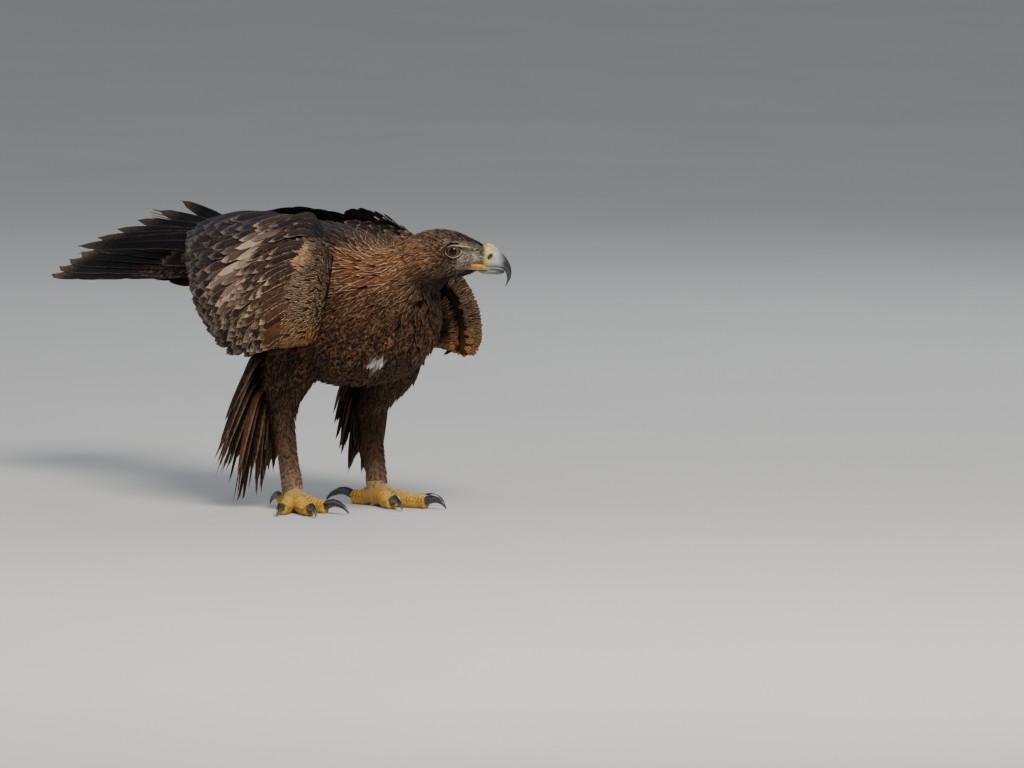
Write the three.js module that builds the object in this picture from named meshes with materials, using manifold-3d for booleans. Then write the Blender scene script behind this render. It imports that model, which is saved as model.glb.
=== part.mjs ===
import * as THREE from "three";
import { mergeVertices } from "three/addons/utils/BufferGeometryUtils.js";
import Module from "manifold-3d";

// A life-size golden eagle, standing and leaning forward with its wings held a little off the body, its tail
// half spread and its head turned to its left. Lengths are in millimetres. The bird faces -Y, its left side
// is +X and +Z is up. The soles of its feet are at z = 0.

const wasm = await Module();
wasm.setup();

// Driving dimensions
const GAP = 0.3; // between neighbouring nodes
const FINEST = 0.3; // details smaller than this are left out
const VANE = 1.1; // thickness of a feather's vane at its root
const STANCE = 55; // from the midline to the middle of each foot
const ANKLE = 25; // height where the feathered leg meets the toes
const HEEL = 108; // height of the heel joint
const EYE = [42, 165, 286]; // middle of the head between the eyes: left, ahead, up
const HEAD_TURN = THREE.MathUtils.degToRad(50); // towards the bird's left
const TAIL_LENGTH = 285; // of the longest tail feather past its root
const TAIL_SPREAD = THREE.MathUtils.degToRad(16); // each way from the middle
const TAIL_TURN = THREE.MathUtils.degToRad(3); // towards the bird's left
const TAIL_ROLL = THREE.MathUtils.degToRad(16); // left edge up
const TAIL_ROOT = [0, -158, 259];
const FOOT_TURN = THREE.MathUtils.degToRad(19); // each foot points out by this

const UP = new THREE.Vector3(0, 0, 1);

// A point from distances to the bird's left, ahead of it and up.
const at = (left, ahead, up) => new THREE.Vector3(left, -ahead, up);
const mix = THREE.MathUtils.lerp;

// A seeded draw from -1 to 1, so that like feathers vary as real ones do.
let seed = 7;
function vary(amount) {
  seed = (seed * 16807) % 2147483647;
  return amount * (2 * (seed / 2147483647) - 1);
}

// Reads rows of numbers at t from 0 to 1 along a smooth curve through them.
function between(rows, t) {
  const last = rows.length - 1;
  const place = Math.min(Math.max(t, 0), 1) * last;
  const i = Math.min(Math.floor(place), last - 1);
  const f = place - i;
  const row = (k) => rows[Math.min(Math.max(k, 0), last)];
  return rows[0].map((_, c) => {
    const [a, b, d, e] = [row(i - 1)[c], row(i)[c], row(i + 1)[c], row(i + 2)[c]];
    return (
      b +
      0.5 * f * (d - a + f * (2 * a - 5 * b + 4 * d - e + f * (3 * (b - d) + e - a)))
    );
  });
}

// A closed skin over rings of points, each ring counter-clockwise seen from its far end.
function skinOver(rings) {
  const sides = rings[0].length;
  const points = rings.flat();
  const faces = [];
  for (let i = 0; i + 1 < rings.length; i++)
    for (let j = 0; j < sides; j++) {
      const a = i * sides + j;
      const b = i * sides + ((j + 1) % sides);
      faces.push(a, b, b + sides, a, b + sides, a + sides);
    }
  const middle = (ring) =>
    ring.reduce((sum, p) => sum.add(p), new THREE.Vector3()).divideScalar(sides);
  const near = points.push(middle(rings[0])) - 1;
  const far = points.push(middle(rings.at(-1))) - 1;
  const top = (rings.length - 1) * sides;
  for (let j = 0; j < sides; j++) {
    const k = (j + 1) % sides;
    faces.push(near, k, j, far, top + j, top + k);
  }
  return new THREE.BufferGeometry().setFromPoints(points).setIndex(faces);
}

// A geometry as a solid that can be joined and cut.
function solid(geometry) {
  const bare = new THREE.BufferGeometry();
  bare.setAttribute("position", geometry.getAttribute("position"));
  bare.setIndex(geometry.index);
  const merged = mergeVertices(bare, 1e-4);
  const vertProperties = new Float32Array(merged.attributes.position.array);
  const triVerts = new Uint32Array(merged.index.array);
  const made = new wasm.Manifold(new wasm.Mesh({ numProp: 3, vertProperties, triVerts }));
  if (made.volume() > 0) return made;
  for (let i = 0; i < triVerts.length; i += 3)
    [triVerts[i + 1], triVerts[i + 2]] = [triVerts[i + 2], triVerts[i + 1]];
  return new wasm.Manifold(new wasm.Mesh({ numProp: 3, vertProperties, triVerts }));
}

const fuse = (solids) => solids.reduce((whole, piece) => whole.add(piece));

function largest(shape) {
  const whole = shape.decompose().reduce((a, b) => (a.volume() > b.volume() ? a : b));
  return whole.simplify(FINEST);
}

// A body lofted along rows of [left, ahead, up, half width, height above, depth below].
function loft(rows, rings, sides, { grow = 0, square = 2.3, top = UP } = {}) {
  const place = (t) => {
    const [left, ahead, up] = between(rows, t);
    return at(left, ahead, up);
  };
  const made = [];
  for (let i = 0; i < rings; i++) {
    const t = i / (rings - 1);
    const [, , , wide, high, low] = between(rows, t);
    const along = place(Math.min(t + 0.01, 1)).sub(place(Math.max(t - 0.01, 0))).normalize();
    const side = new THREE.Vector3().crossVectors(top, along).normalize();
    const rise = new THREE.Vector3().crossVectors(along, side);
    const centre = place(t);
    if (i === 0) centre.addScaledVector(along, -grow);
    if (i === rings - 1) centre.addScaledVector(along, grow);
    made.push(
      Array.from({ length: sides }, (_, j) => {
        const turn = (2 * Math.PI * (j + 0.5)) / sides;
        const bend = (x) => Math.sign(x) * Math.abs(x) ** (2 / square);
        const across = bend(Math.cos(turn)) * (wide + grow);
        const tall = bend(Math.sin(turn)) * ((Math.sin(turn) > 0 ? high : low) + grow);
        return centre.clone().addScaledVector(side, across).addScaledVector(rise, tall);
      }),
    );
  }
  return solid(skinOver(made));
}

// Everything on the far side of a plane, as one large block.
function beyond(point, normal) {
  const block = new THREE.BoxGeometry(1200, 1200, 1200).translate(0, 0, 600);
  const turn = new THREE.Quaternion().setFromUnitVectors(UP, normal.clone().normalize());
  block.applyQuaternion(turn).translate(point.x, point.y, point.z);
  return solid(block);
}

// Parts a shape along a plane into [behind, ahead], GAP apart.
function part(shape, point, normal) {
  const ahead = point.clone().addScaledVector(normal.clone().normalize(), GAP);
  return [shape.subtract(beyond(point, normal)), shape.intersect(beyond(ahead, normal))];
}

// Share of a feather's full width at a share of its length: [along, width]
const FLIGHT = [
  [0, 0.5],
  [0.48, 1],
  [0.9, 0.76],
  [1, 0.16],
];
const COVERT = [
  [0, 0.55],
  [0.4, 1],
  [0.8, 0.86],
  [1, 0.2],
];
const PLUME = [
  [0, 0.7],
  [0.4, 1],
  [0.76, 0.58],
  [1, 0.06],
];

// One vane: a thin blade on a surface, its faces alike above and below. The surface gives a point and a
// normal at a share of the vane's length and a distance across it; lead is the share of its width on the
// side where distances are positive.
function vane(surface, width, shape, { thick = VANE, lead = 0.4 } = {}) {
  const upper = [];
  const lower = [];
  for (const [u, share] of shape)
    for (const edge of [lead - 1, 0, lead]) {
      const [p, normal] = surface(u, edge * width * share);
      const half = 0.5 * thick * (1 - 0.35 * u);
      upper.push(p.clone().addScaledVector(normal, half));
      lower.push(p.clone().addScaledVector(normal, -half));
    }
  return plate(upper, lower, shape.length - 1, 2);
}

// A surface along a curve through points, level across, with normals that turn from one to another
function along(points, from, to = from) {
  const curve = new THREE.CatmullRomCurve3(points);
  return (u, x) => {
    const ahead = curve.getTangent(u);
    const normal = from.clone().lerp(to, u);
    normal.addScaledVector(ahead, -normal.dot(ahead)).normalize();
    const across = new THREE.Vector3().crossVectors(ahead, normal);
    return [curve.getPoint(u).addScaledVector(across, x), normal];
  };
}

// A closed plate between two like grids of points
function plate(upper, lower, rows, columns) {
  const count = upper.length;
  const row = columns + 1;
  const faces = [];
  for (let i = 0; i < rows; i++)
    for (let j = 0; j < columns; j++) {
      const a = i * row + j;
      faces.push(a, a + row, a + row + 1, a, a + row + 1, a + 1);
      faces.push(count + a, count + a + row + 1, count + a + row);
      faces.push(count + a, count + a + 1, count + a + row + 1);
    }
  const rim = [];
  for (let i = 0; i <= rows; i++) rim.push(i * row);
  for (let j = 1; j <= columns; j++) rim.push(rows * row + j);
  for (let i = rows - 1; i >= 0; i--) rim.push(i * row + columns);
  for (let j = columns - 1; j > 0; j--) rim.push(j);
  rim.forEach((a, k) => {
    const b = rim[(k + 1) % rim.length];
    faces.push(a, count + a, count + b, a, count + b, b);
  });
  return solid(new THREE.BufferGeometry().setFromPoints([...upper, ...lower]).setIndex(faces));
}

// Torso and neck: rows of [left, ahead, up, half width, height above, depth below]
const TORSO = [
  [0, -196, 262, 10, 6, 8],
  [0, -184, 262, 22, 12, 16],
  [0, -150, 262, 40, 27, 32],
  [0, -100, 256, 60, 48, 52],
  [0, -45, 240, 74, 70, 78],
  [0, 10, 226, 80, 79, 90],
  [0, 60, 220, 81, 75, 86],
  [2, 100, 222, 70, 63, 74],
  [4, 130, 226, 50, 46, 54],
  [5, 148, 228, 26, 24, 30],
  [5, 154, 228, 8, 8, 10],
];
const NECK = [
  [0, 48, 236, 56, 46, 52],
  [5, 84, 244, 51, 42, 48],
  [14, 114, 259, 43, 35, 41],
  [26, 140, 276, 36, 30, 36],
  [38, 160, 287, 30, 24, 31],
];
const torsoWhole = loft(TORSO, 18, 20);
const neckWhole = loft(NECK, 7, 16);

// The head's own directions: along the bill, to its left, and up
const FORE = new THREE.Vector3(Math.sin(HEAD_TURN), -Math.cos(HEAD_TURN), 0);
const SIDE = new THREE.Vector3(Math.cos(HEAD_TURN), Math.sin(HEAD_TURN), 0);
const onHead = (fore, side, up) =>
  at(...EYE).addScaledVector(FORE, fore).addScaledVector(SIDE, side).addScaledVector(UP, up);

// A body lofted in the head's directions, along rows of [fore, up, half width, height above, depth below]
function headLoft(rows, rings, sides, options) {
  const turned = rows.map(([fore, up, ...rest]) => {
    const p = onHead(fore, 0, up);
    return [p.x, -p.y, p.z, ...rest];
  });
  return loft(turned, rings, sides, options);
}

const SKULL = [
  [-52, -12, 22, 18, 22],
  [-42, -10, 31, 25, 28],
  [-28, -7, 35, 28, 30],
  [-13, -5, 34, 29, 30],
  [0, -4, 29, 26, 27],
  [12, -5, 23, 22, 21],
  [23, -6, 18, 18, 18],
  [33, -7, 13.5, 14, 17],
];
const BILL_START = 32;
const CERE_END = 44;
const MOUTH = -18.6; // height of the mouth line from the eyes
const EYE_SIDE = 18.5; // from the middle of the head to the middle of an eyeball
const EYE_RADIUS = 9.6;

function ball(centre, radius, stretch = [1, 1, 1], detail = 14) {
  const shape = new THREE.SphereGeometry(radius, detail, Math.round(detail * 0.7));
  shape.scale(...stretch).rotateZ(HEAD_TURN - Math.PI / 2);
  return solid(shape.translate(centre.x, centre.y, centre.z));
}

const eyeball = (way, grow = 0) => ball(onHead(1, way * EYE_SIDE, 0.5), EYE_RADIUS + grow, [1, 1, 1], 10);
// The brow is a ridge of bone over each eye, and the lid a thin ring round it.
const brow = (way) => ball(onHead(3, way * 22.5, 8.6), 5.2, [3.1, 1, 0.72], 10);
function lid(way) {
  const ring = new THREE.TorusGeometry(8.4, 1.4, 5, 12).rotateX(Math.PI / 2);
  ring.rotateZ(HEAD_TURN - Math.PI / 2);
  const centre = onHead(1, way * (EYE_SIDE + 6.2), 0.5);
  return solid(ring.translate(centre.x, centre.y, centre.z));
}

// Upper bill and cere: rows of [fore and up of the ridge, fore and up of the cutting edge, half width]
const BILL = [
  [26, 8.5, 26, MOUTH + 0.3, 14.5],
  [32, 7.6, 32, MOUTH + 0.3, 13.2],
  [38, 6.4, 38, MOUTH + 0.3, 12],
  [44, 3.4, 43, MOUTH + 0.3, 10.6],
  [51, -2.6, 48, MOUTH + 0.1, 8.8],
  [57, -10, 52.4, -20.4, 6.8],
  [60.8, -19, 55.4, -24.4, 4.8],
  [60.4, -29, 56.6, -31, 2.8],
  [55, -38.4, 54.4, -38, 0.6],
];
function billSolid(rings, sides) {
  const made = [];
  for (let i = 0; i < rings; i++) {
    const [fa, ua, fb, ub, wide] = between(BILL, i / (rings - 1));
    made.push(
      Array.from({ length: sides }, (_, j) => {
        const turn = (2 * Math.PI * (j + 0.5)) / sides;
        const rise = 0.5 + 0.5 * Math.sin(turn);
        const full = Math.sign(Math.cos(turn)) * Math.abs(Math.cos(turn)) ** 0.8;
        const narrow = mix(1.08, 0.62, rise);
        return onHead(mix(fb, fa, rise), full * wide * narrow, mix(ub, ua, rise));
      }),
    );
  }
  return solid(skinOver(made));
}
const LOWER_BILL = [
  [20, -21.6, 12.6, 2.4, 4],
  [33, -21.7, 11, 2.4, 3.8],
  [44, -21.9, 8.6, 2.2, 4],
  [50, -22.2, 5.6, 1.8, 3.2],
  [53.4, -22.6, 1.6, 0.8, 1.4],
];

function headNodes() {
  const along = between(NECK, 0.86).slice(0, 3);
  const cutAt = at(...along);
  const cutAlong = at(...between(NECK, 0.9).slice(0, 3)).sub(at(...between(NECK, 0.7).slice(0, 3)));
  const skull = headLoft(SKULL, 10, 16);
  const whole = fuse([neckWhole, skull, brow(1), brow(-1), lid(1), lid(-1)]);
  let [neck, head] = part(whole, cutAt, cutAlong);
  const billPlane = onHead(BILL_START, 0, 0);
  head = head.subtract(beyond(billPlane, FORE));
  head = head.subtract(eyeball(1, GAP)).subtract(eyeball(-1, GAP));
  // The mouth line runs back under the eyes as a shallow groove.
  for (const way of [1, -1]) {
    const groove = new THREE.BoxGeometry(27, 14, 0.9).rotateZ(HEAD_TURN - Math.PI / 2);
    const middle = onHead(BILL_START - 12, way * 20.5, MOUTH);
    head = head.subtract(solid(groove.translate(middle.x, middle.y, middle.z)));
  }
  const upper = billSolid(14, 12).intersect(beyond(onHead(BILL_START + GAP, 0, 0), FORE));
  let [cere, bill] = part(upper, onHead(CERE_END, 0, 0), FORE);
  for (const way of [1, -1]) cere = cere.subtract(ball(onHead(39.4, way * 11, -4.6), 2.5, [1.5, 1, 0.8], 6));
  const lower = headLoft(LOWER_BILL, 7, 10).intersect(beyond(onHead(BILL_START + GAP, 0, 0), FORE));
  return { neck, head, cere, bill_upper: bill, bill_lower: lower.subtract(upper.translate([0, 0, -GAP])) };
}

// The outer surface of a folded wing, from its leading edge to the tips of its inner flight feathers: rows of
// [out from the midline, ahead, up] along the back, along the side and along the lower edge
const WING_TOP = [
  [58, 76, 290],
  [50, 20, 308],
  [42, -50, 312],
  [38, -130, 312],
  [32, -212, 298],
];
const WING_FLANK = [
  [97, 106, 238],
  [124, 44, 236],
  [119, -35, 244],
  [97, -125, 262],
  [58, -214, 280],
];
const WING_LOW = [
  [106, 92, 180],
  [122, 36, 168],
  [126, -38, 174],
  [106, -126, 208],
  [62, -208, 256],
];
const LEFT_REACH = [14, 22, -16]; // the left wing's wrist is held this much further out, ahead and up
const STEP = 1.35; // in depth from one vane to the next in a tier
const FALL = 15; // in depth across a tier from the back to the lower edge

function wingRows(way, t) {
  const shift = way > 0 ? (1 - t) ** 2 : 0;
  return [WING_TOP, WING_FLANK, WING_LOW].map((rows, i) => {
    const [out, ahead, up] = between(rows, t).map((v, k) => v + 0.5 * i * shift * LEFT_REACH[k]);
    return at(way * out, ahead, up);
  });
}
// How far it is round the wing from the back to the lower edge
function girth(t) {
  const [a, b, c] = wingRows(-1, t);
  return a.distanceTo(b) + b.distanceTo(c);
}
// A point on a wing's surface: s from 0 on the back to 1 at the lower edge, t from the leading edge to the tips
function wingPoint(way, s, t) {
  const [a, b, c] = wingRows(way, t);
  const point = a.multiplyScalar((2 * s - 1) * (s - 1)).addScaledVector(b, 4 * s * (1 - s));
  return point.addScaledVector(c, s * (2 * s - 1));
}
function wingNormal(way, s, t) {
  const step = 0.01;
  const down = wingPoint(way, s + step, t).sub(wingPoint(way, s - step, t));
  const back = wingPoint(way, s, t + step).sub(wingPoint(way, s, t - step));
  return down.cross(back).multiplyScalar(way).normalize();
}
// A point that lies a distance under the wing's surface
const underWing = (way, s, t, depth) =>
  wingPoint(way, s, t).addScaledVector(wingNormal(way, s, t), -depth);

// A feather's surface on the wing from root [s, t] to tip [s, t]: its upper edge is tucked under the next one
// and its root is sunk in the arm
function onWing(way, root, tip, depth) {
  return (u, x) => {
    const t = mix(root[1], tip[1], u);
    const s = mix(root[0], tip[0], u) + x / girth(t);
    return [underWing(way, s, t, depth - 0.02 * x + 5 * (1 - u) ** 3), wingNormal(way, s, t)];
  };
}

// The arm inside its small feathers: a thick shell that steps down as each tier of feathers leaves it. Rows of
// [t, depth of its outer face, thickness]
const ARM = [
  [0, 0.5, 2],
  [0.016, 0.5, 22],
  [0.055, 0.5, 35],
  [0.14, 0.5, 34],
  [0.175, 4.5, 29],
  [0.28, 4.5, 26],
  [0.315, 9, 20],
  [0.43, 9, 17],
  [0.465, 14, 9],
  [0.56, 14, 5],
];
const ARM_DEPTH = 20; // of the middle of its leading edge
function arm(way) {
  const columns = 5;
  const outer = [];
  const inner = [];
  ARM.forEach(([t, sink, full], i) => {
    for (let j = 0; j <= columns; j++) {
      const s = mix(0.02, 0.98, j / columns);
      const brim = Math.min(1, (1 - Math.abs(2 * s - 1)) / 0.3);
      const half = 0.5 * full * (0.25 + 0.75 * Math.sqrt(1 - (1 - brim) ** 2));
      const middle = FALL * (s - 0.5) + (i < 2 ? ARM_DEPTH : sink + full / 2);
      outer.push(underWing(way, s, t, middle - half));
      inner.push(underWing(way, s, t, middle + half));
    }
  });
  return plate(outer, inner, ARM.length - 1, columns);
}

// Tiers from the outside in: how many, where roots and tips lie along the back and the lower edge, the width
// and the depth under the wing's surface
const TIERS = [
  { count: 6, root: 0.1, tips: [0.36, 0.3], width: 42, depth: 2, shape: COVERT },
  { count: 7, root: 0.24, tips: [0.58, 0.5], width: 40, depth: 6.5, shape: COVERT },
  { count: 9, root: 0.39, tips: [1, 0.92], width: 46, depth: 11, shape: FLIGHT },
];
const SLANT = 0.14; // how much lower round the wing each of these feathers ends than it starts
const PRIMARY_BACK = [0, 18, 44, 80, 124]; // how far each tip lies behind the longest
const RIGHT_TIP = [54, -408, 257]; // out, ahead and up of the longest primary's tip
const LEFT_TIP = [52, -424, 291];

// The primaries lie in a stack along one path from the wrist, under the rest of the wing, to their tips.
function primaries(way) {
  const [out, ahead, up] = way > 0 ? LEFT_TIP : RIGHT_TIP;
  const points = [
    underWing(way, 0.8, 0.24, 24),
    underWing(way, 0.6, 0.52, 24),
    underWing(way, 0.42, 0.78, 21),
    underWing(way, 0.38, 0.98, 13),
    at(way * out, ahead, up),
  ];
  const length = new THREE.CatmullRomCurve3(points).getLength();
  const tipTilt = way > 0 ? new THREE.Vector3(0.1, 0, 1) : new THREE.Vector3(-0.7, 0, 0.7);
  const path = along(points, new THREE.Vector3(way * 0.86, 0, 0.5), tipTilt);
  return PRIMARY_BACK.map((back, k) => {
    const surface = (u, x) => {
      const [p, normal] = path(u * (1 - back / length), x - way * 6 * k * u);
      return [p.addScaledVector(normal, -1.2 * STEP * k), normal];
    };
    return vane(surface, 34 - k, FLIGHT);
  });
}

function wing(way) {
  const pieces = [arm(way), ...primaries(way)];
  for (const { count, root, tips, width, depth, shape } of TIERS)
    for (let k = 0; k < count; k++) {
      const s = mix(0.02, 0.8, k / (count - 1));
      const tip = [s + SLANT, mix(...tips, s) + vary(0.01)];
      pieces.push(vane(onWing(way, [s, root], tip, depth + FALL * (s - 0.4)), width, shape));
    }
  return fuse(pieces);
}

// Tail feathers from one edge to the other with how deep each lies in the stack, the middle ones on top
const RECTRICES = 12;
const stacked = (k, count) => {
  const fromMiddle = k - (count - 1) / 2;
  return fromMiddle < 0 ? -2 * fromMiddle - 1 : 2 * fromMiddle;
};
function tail() {
  const root = at(...TAIL_ROOT);
  const normal = new THREE.Vector3(-Math.sin(TAIL_ROLL), 0, Math.cos(TAIL_ROLL));
  const flat = new THREE.Vector3(Math.cos(TAIL_ROLL), 0, Math.sin(TAIL_ROLL));
  // A feather's surface: q from -1 at the tail's right edge to 1 at its left
  const fan = (q, start, length, depth) => {
    const turn = q * TAIL_SPREAD + TAIL_TURN;
    const away = new THREE.Vector3(0, Math.cos(turn), 0).addScaledVector(flat, Math.sin(turn));
    const across = new THREE.Vector3().crossVectors(away, normal);
    const base = root.clone().addScaledVector(flat, 14 * q);
    return (u, x) => {
      const p = base.clone().addScaledVector(away, mix(start, length, u)).addScaledVector(across, x);
      return [p.addScaledVector(normal, -depth), normal];
    };
  };
  const core = [
    [0, -140, 260, 24, 14, 14],
    [1, -176, 259, 25, 11, 16],
    [2, -212, 256, 22, 6, 14],
    [3, -236, 254, 12, 2, 8],
  ];
  const pieces = [loft(core, 5, 8)];
  for (let k = 0; k < RECTRICES; k++) {
    const q = (2 * k) / (RECTRICES - 1) - 1;
    const length = TAIL_LENGTH - 9 * q * q + vary(2);
    const surface = fan(q, 12, length, 0.9 * STEP * stacked(k, RECTRICES));
    pieces.push(vane(surface, 46, FLIGHT, { lead: q > 0 ? 0.36 : 0.64 }));
  }
  // Coverts close over the feet of the tail feathers above, and long soft ones below.
  for (let k = 0; k < 4; k++) {
    const q = k / 1.5 - 1;
    pieces.push(vane(fan(0.6 * q, 2, 88, 1.2 * stacked(k, 4) - 5.2), 34, COVERT));
    const droop = along(
      [0, 0.4, 0.75, 1].map((f) => fan(0.62 * q, 0, 118, 15 + 9 * f * (1 - f) + 2 * Math.abs(q))(f, 0)[0]),
      normal,
    );
    pieces.push(vane(droop, 27, PLUME, { thick: 1.6, lead: 0.5 }));
  }
  return fuse(pieces);
}

// Leg: rows of [out, ahead, up, half width, ahead of the middle, behind it] from inside the body to the foot
const legRows = (way, knee) => [
  [way * 50, 26 + knee, 205, 38, 42, 42],
  [way * 60, 6 + knee, 160, 32, 34, 38],
  [way * 61, -9 + 0.6 * knee, 130, 24, 25, 29],
  [way * 58, -15 + 0.3 * knee, HEEL, 17.5, 18, 19],
  [way * 57, -11, 84, 13.6, 13.6, 14],
  [way * 56, -5, 56, 12.4, 12.4, 12.8],
  [way * STANCE, 0, 34, 13, 13, 13.4],
  [way * STANCE, 2, 14, 12.5, 12.5, 13],
];
const AHEAD = new THREE.Vector3(0, -1, 0);

// The long loose feathers that hang behind the shin: how many in a tier, its level down the leg, how long
// they are, their width, how far the tier stands off the skin, how far round it goes each way and how far
// back its tips lean
const TROUSERS = [
  { count: 3, level: 0.14, reach: 118, width: 30, off: 8, round: 0.6, lean: 0.4 },
  { count: 4, level: 0.22, reach: 134, width: 28, off: 5, round: 0.8, lean: 0.3 },
  { count: 4, level: 0.3, reach: 122, width: 24, off: 2.5, round: 0.9, lean: 0.16 },
  { count: 3, level: 0.38, reach: 92, width: 20, off: 1.5, round: 0.8, lean: 0.05 },
];
const TROUSER_TURN = { right: 0.4, left: 0 }; // outwards from straight behind
function trousers(way, rows) {
  const pieces = [];
  const middle = way > 0 ? TROUSER_TURN.left : TROUSER_TURN.right;
  const size = way > 0 ? 0.8 : 1;
  for (const { count: most, level, reach, width, off, round, lean } of TROUSERS) {
    const count = Math.max(2, way > 0 ? most - 1 : most);
    for (let k = 0; k < count; k++) {
      const q = (2 * k) / (count - 1) - 1;
      const turn = middle + q * round * size ** 2 + vary(0.04);
      const [left, ahead, up, wide, , behind] = between(rows, level);
      const out = new THREE.Vector3(way * Math.sin(turn), Math.cos(turn), 0);
      const base = at(left, ahead, up);
      const skin = 0.5 * (wide + behind);
      const long = size * reach * (1 - 0.2 * Math.abs(q)) + vary(8);
      const back = new THREE.Vector3(0, size ** 2 * lean + 0.04, -1);
      const fall = back.addScaledVector(out, 0.4 * lean).normalize();
      const place = (share, f) =>
        base.clone().addScaledVector(out, skin * share + off).addScaledVector(fall, f * long);
      const points = [place(0.4, 0), place(1, 0.14), place(1.02, 0.6), place(0.92, 1)];
      pieces.push(vane(along(points, out), width, PLUME, { thick: 1.8, lead: 0.5 }));
    }
  }
  return pieces;
}

// Toes: turn from the foot's own heading, length without the claw, half thickness, claw length and claw depth
const TOES = {
  inner: { turn: -0.6, long: 45, thick: 8.2, claw: 37, deep: 15 },
  middle: { turn: 0, long: 64, thick: 8, claw: 30, deep: 11 },
  outer: { turn: 0.52, long: 50, thick: 7.2, claw: 25, deep: 10 },
  hind: { turn: Math.PI - 0.08, long: 34, thick: 8.6, claw: 47, deep: 19 },
};

// Where a toe points, and a point along it
function toeLine(way, toe) {
  const turn = way * (FOOT_TURN + toe.turn);
  const heading = new THREE.Vector3(Math.sin(turn), -Math.cos(turn), 0);
  const hub = at(way * STANCE, 4, 0);
  return (reach, up) => hub.clone().addScaledVector(heading, reach).setZ(up);
}

// A round-sectioned tube through points, with a radius for each ring; rings that swell make its scutes
function tube(points, radii, sides, grow = 0, flat = 1) {
  const curve = new THREE.CatmullRomCurve3(points);
  const rings = radii.map((radius, i) => {
    const u = i / (radii.length - 1);
    const along = curve.getTangent(u);
    const side = new THREE.Vector3().crossVectors(UP, along).normalize();
    const rise = new THREE.Vector3().crossVectors(along, side);
    const centre = curve.getPoint(u);
    if (i === 0) centre.addScaledVector(along, -grow);
    if (i === radii.length - 1) centre.addScaledVector(along, grow);
    return Array.from({ length: sides }, (_, j) => {
      const turn = (2 * Math.PI * (j + 0.5)) / sides;
      return centre
        .clone()
        .addScaledVector(side, Math.cos(turn) * (radius * flat + grow))
        .addScaledVector(rise, Math.sin(turn) * (radius + grow));
    });
  });
  return solid(skinOver(rings));
}

function toeSolid(way, toe, grow = 0) {
  const line = toeLine(way, toe);
  const { long, thick } = toe;
  const points = [line(0, 16), line(0.3 * long, 11), line(0.6 * long, 6.4), line(0.85 * long, 5.6), line(long, 6)];
  const scutes = 2;
  const radii = [thick * 1.15, thick * 1.02, thick * 0.94];
  for (let k = 0; k < scutes; k++) {
    const slim = mix(1, 0.8, k / scutes);
    radii.push(thick * slim, thick * (slim - 0.11));
  }
  radii.push(thick * 0.66);
  return tube(points, radii, 8, grow);
}

function clawSolid(way, toe) {
  const line = toeLine(way, toe);
  const { long, claw, deep, thick } = toe;
  const points = [
    line(long - 6, 7),
    line(long + 0.3 * claw, 7.4 + 0.3 * deep),
    line(long + 0.68 * claw, 6.4 + 0.12 * deep),
    line(long + 0.88 * claw, 0.8),
  ];
  const radii = [0.58, 0.57, 0.5, 0.4, 0.28, 0.16, 0.05].map((r) => r * thick);
  return tube(points, radii, 6, 0, 0.8);
}

const floor = beyond(new THREE.Vector3(0, 0, 0), new THREE.Vector3(0, 0, -1));

function leg(way) {
  const rows = legRows(way, way > 0 ? 14 : 0);
  const side = way > 0 ? "left" : "right";
  const hub = toeLine(way, TOES.middle);
  const pad = tube([hub(-10, 10), hub(4, 12), hub(18, 10)], [7, 12, 13.5, 12, 7], 8);
  const toes = Object.values(TOES).map((toe) => toeSolid(way, toe));
  const down = new THREE.Vector3(0, 0, -1);
  const [limb, lowest] = part(loft(rows, 13, 12, { top: AHEAD }), at(0, 0, ANKLE), down);
  const [thigh, tarsus] = part(limb, at(0, 0, HEEL), down);
  const foot = fuse([pad, lowest, ...toes]).subtract(floor).subtract(beyond(at(0, 0, ANKLE - GAP), UP));
  const shank = legClear(way).intersect(beyond(at(0, 0, HEEL), down));
  const made = {
    [`thigh_${side}`]: fuse([thigh, ...trousers(way, rows)]).subtract(torsoClear).subtract(shank),
    [`tarsus_${side}`]: tarsus,
    [`foot_${side}`]: foot,
  };
  for (const [name, toe] of Object.entries(TOES))
    made[`claw_${name}_${side}`] = clawSolid(way, toe).subtract(toeSolid(way, toe, GAP)).subtract(floor);
  return made;
}
const legClear = (way) => loft(legRows(way, way > 0 ? 14 : 0), 13, 12, { top: AHEAD, grow: GAP });
const torsoClear = loft(TORSO, 18, 20, { grow: GAP });

// Colours
const paint = (color, roughness) => new THREE.MeshStandardMaterial({ color, roughness, metalness: 0 });
const BROWN = paint(0x3a2a20, 0.85);
const DARK = paint(0x2a2320, 0.75);
const GOLD = paint(0x7a5230, 0.85);
const RUST = paint(0x5d3f2a, 0.85);
const YELLOW = paint(0xe0b030, 0.5);
const HORN = paint(0x8f979c, 0.35);
const BLACK = paint(0x1a1a1d, 0.3);
const AMBER = paint(0x6e4218, 0.1);

const { neck: neckAhead, ...faceNodes } = headNodes();
const neckCut = at(...between(NECK, 0.36).slice(0, 3));
const neckAlong = at(...between(NECK, 0.46).slice(0, 3)).sub(at(...between(NECK, 0.26).slice(0, 3)));
const [torso, neck] = part(fuse([torsoWhole, neckAhead]), neckCut, neckAlong);
const bodyClear = torsoClear.add(loft(NECK, 7, 16, { grow: GAP }));

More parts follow.
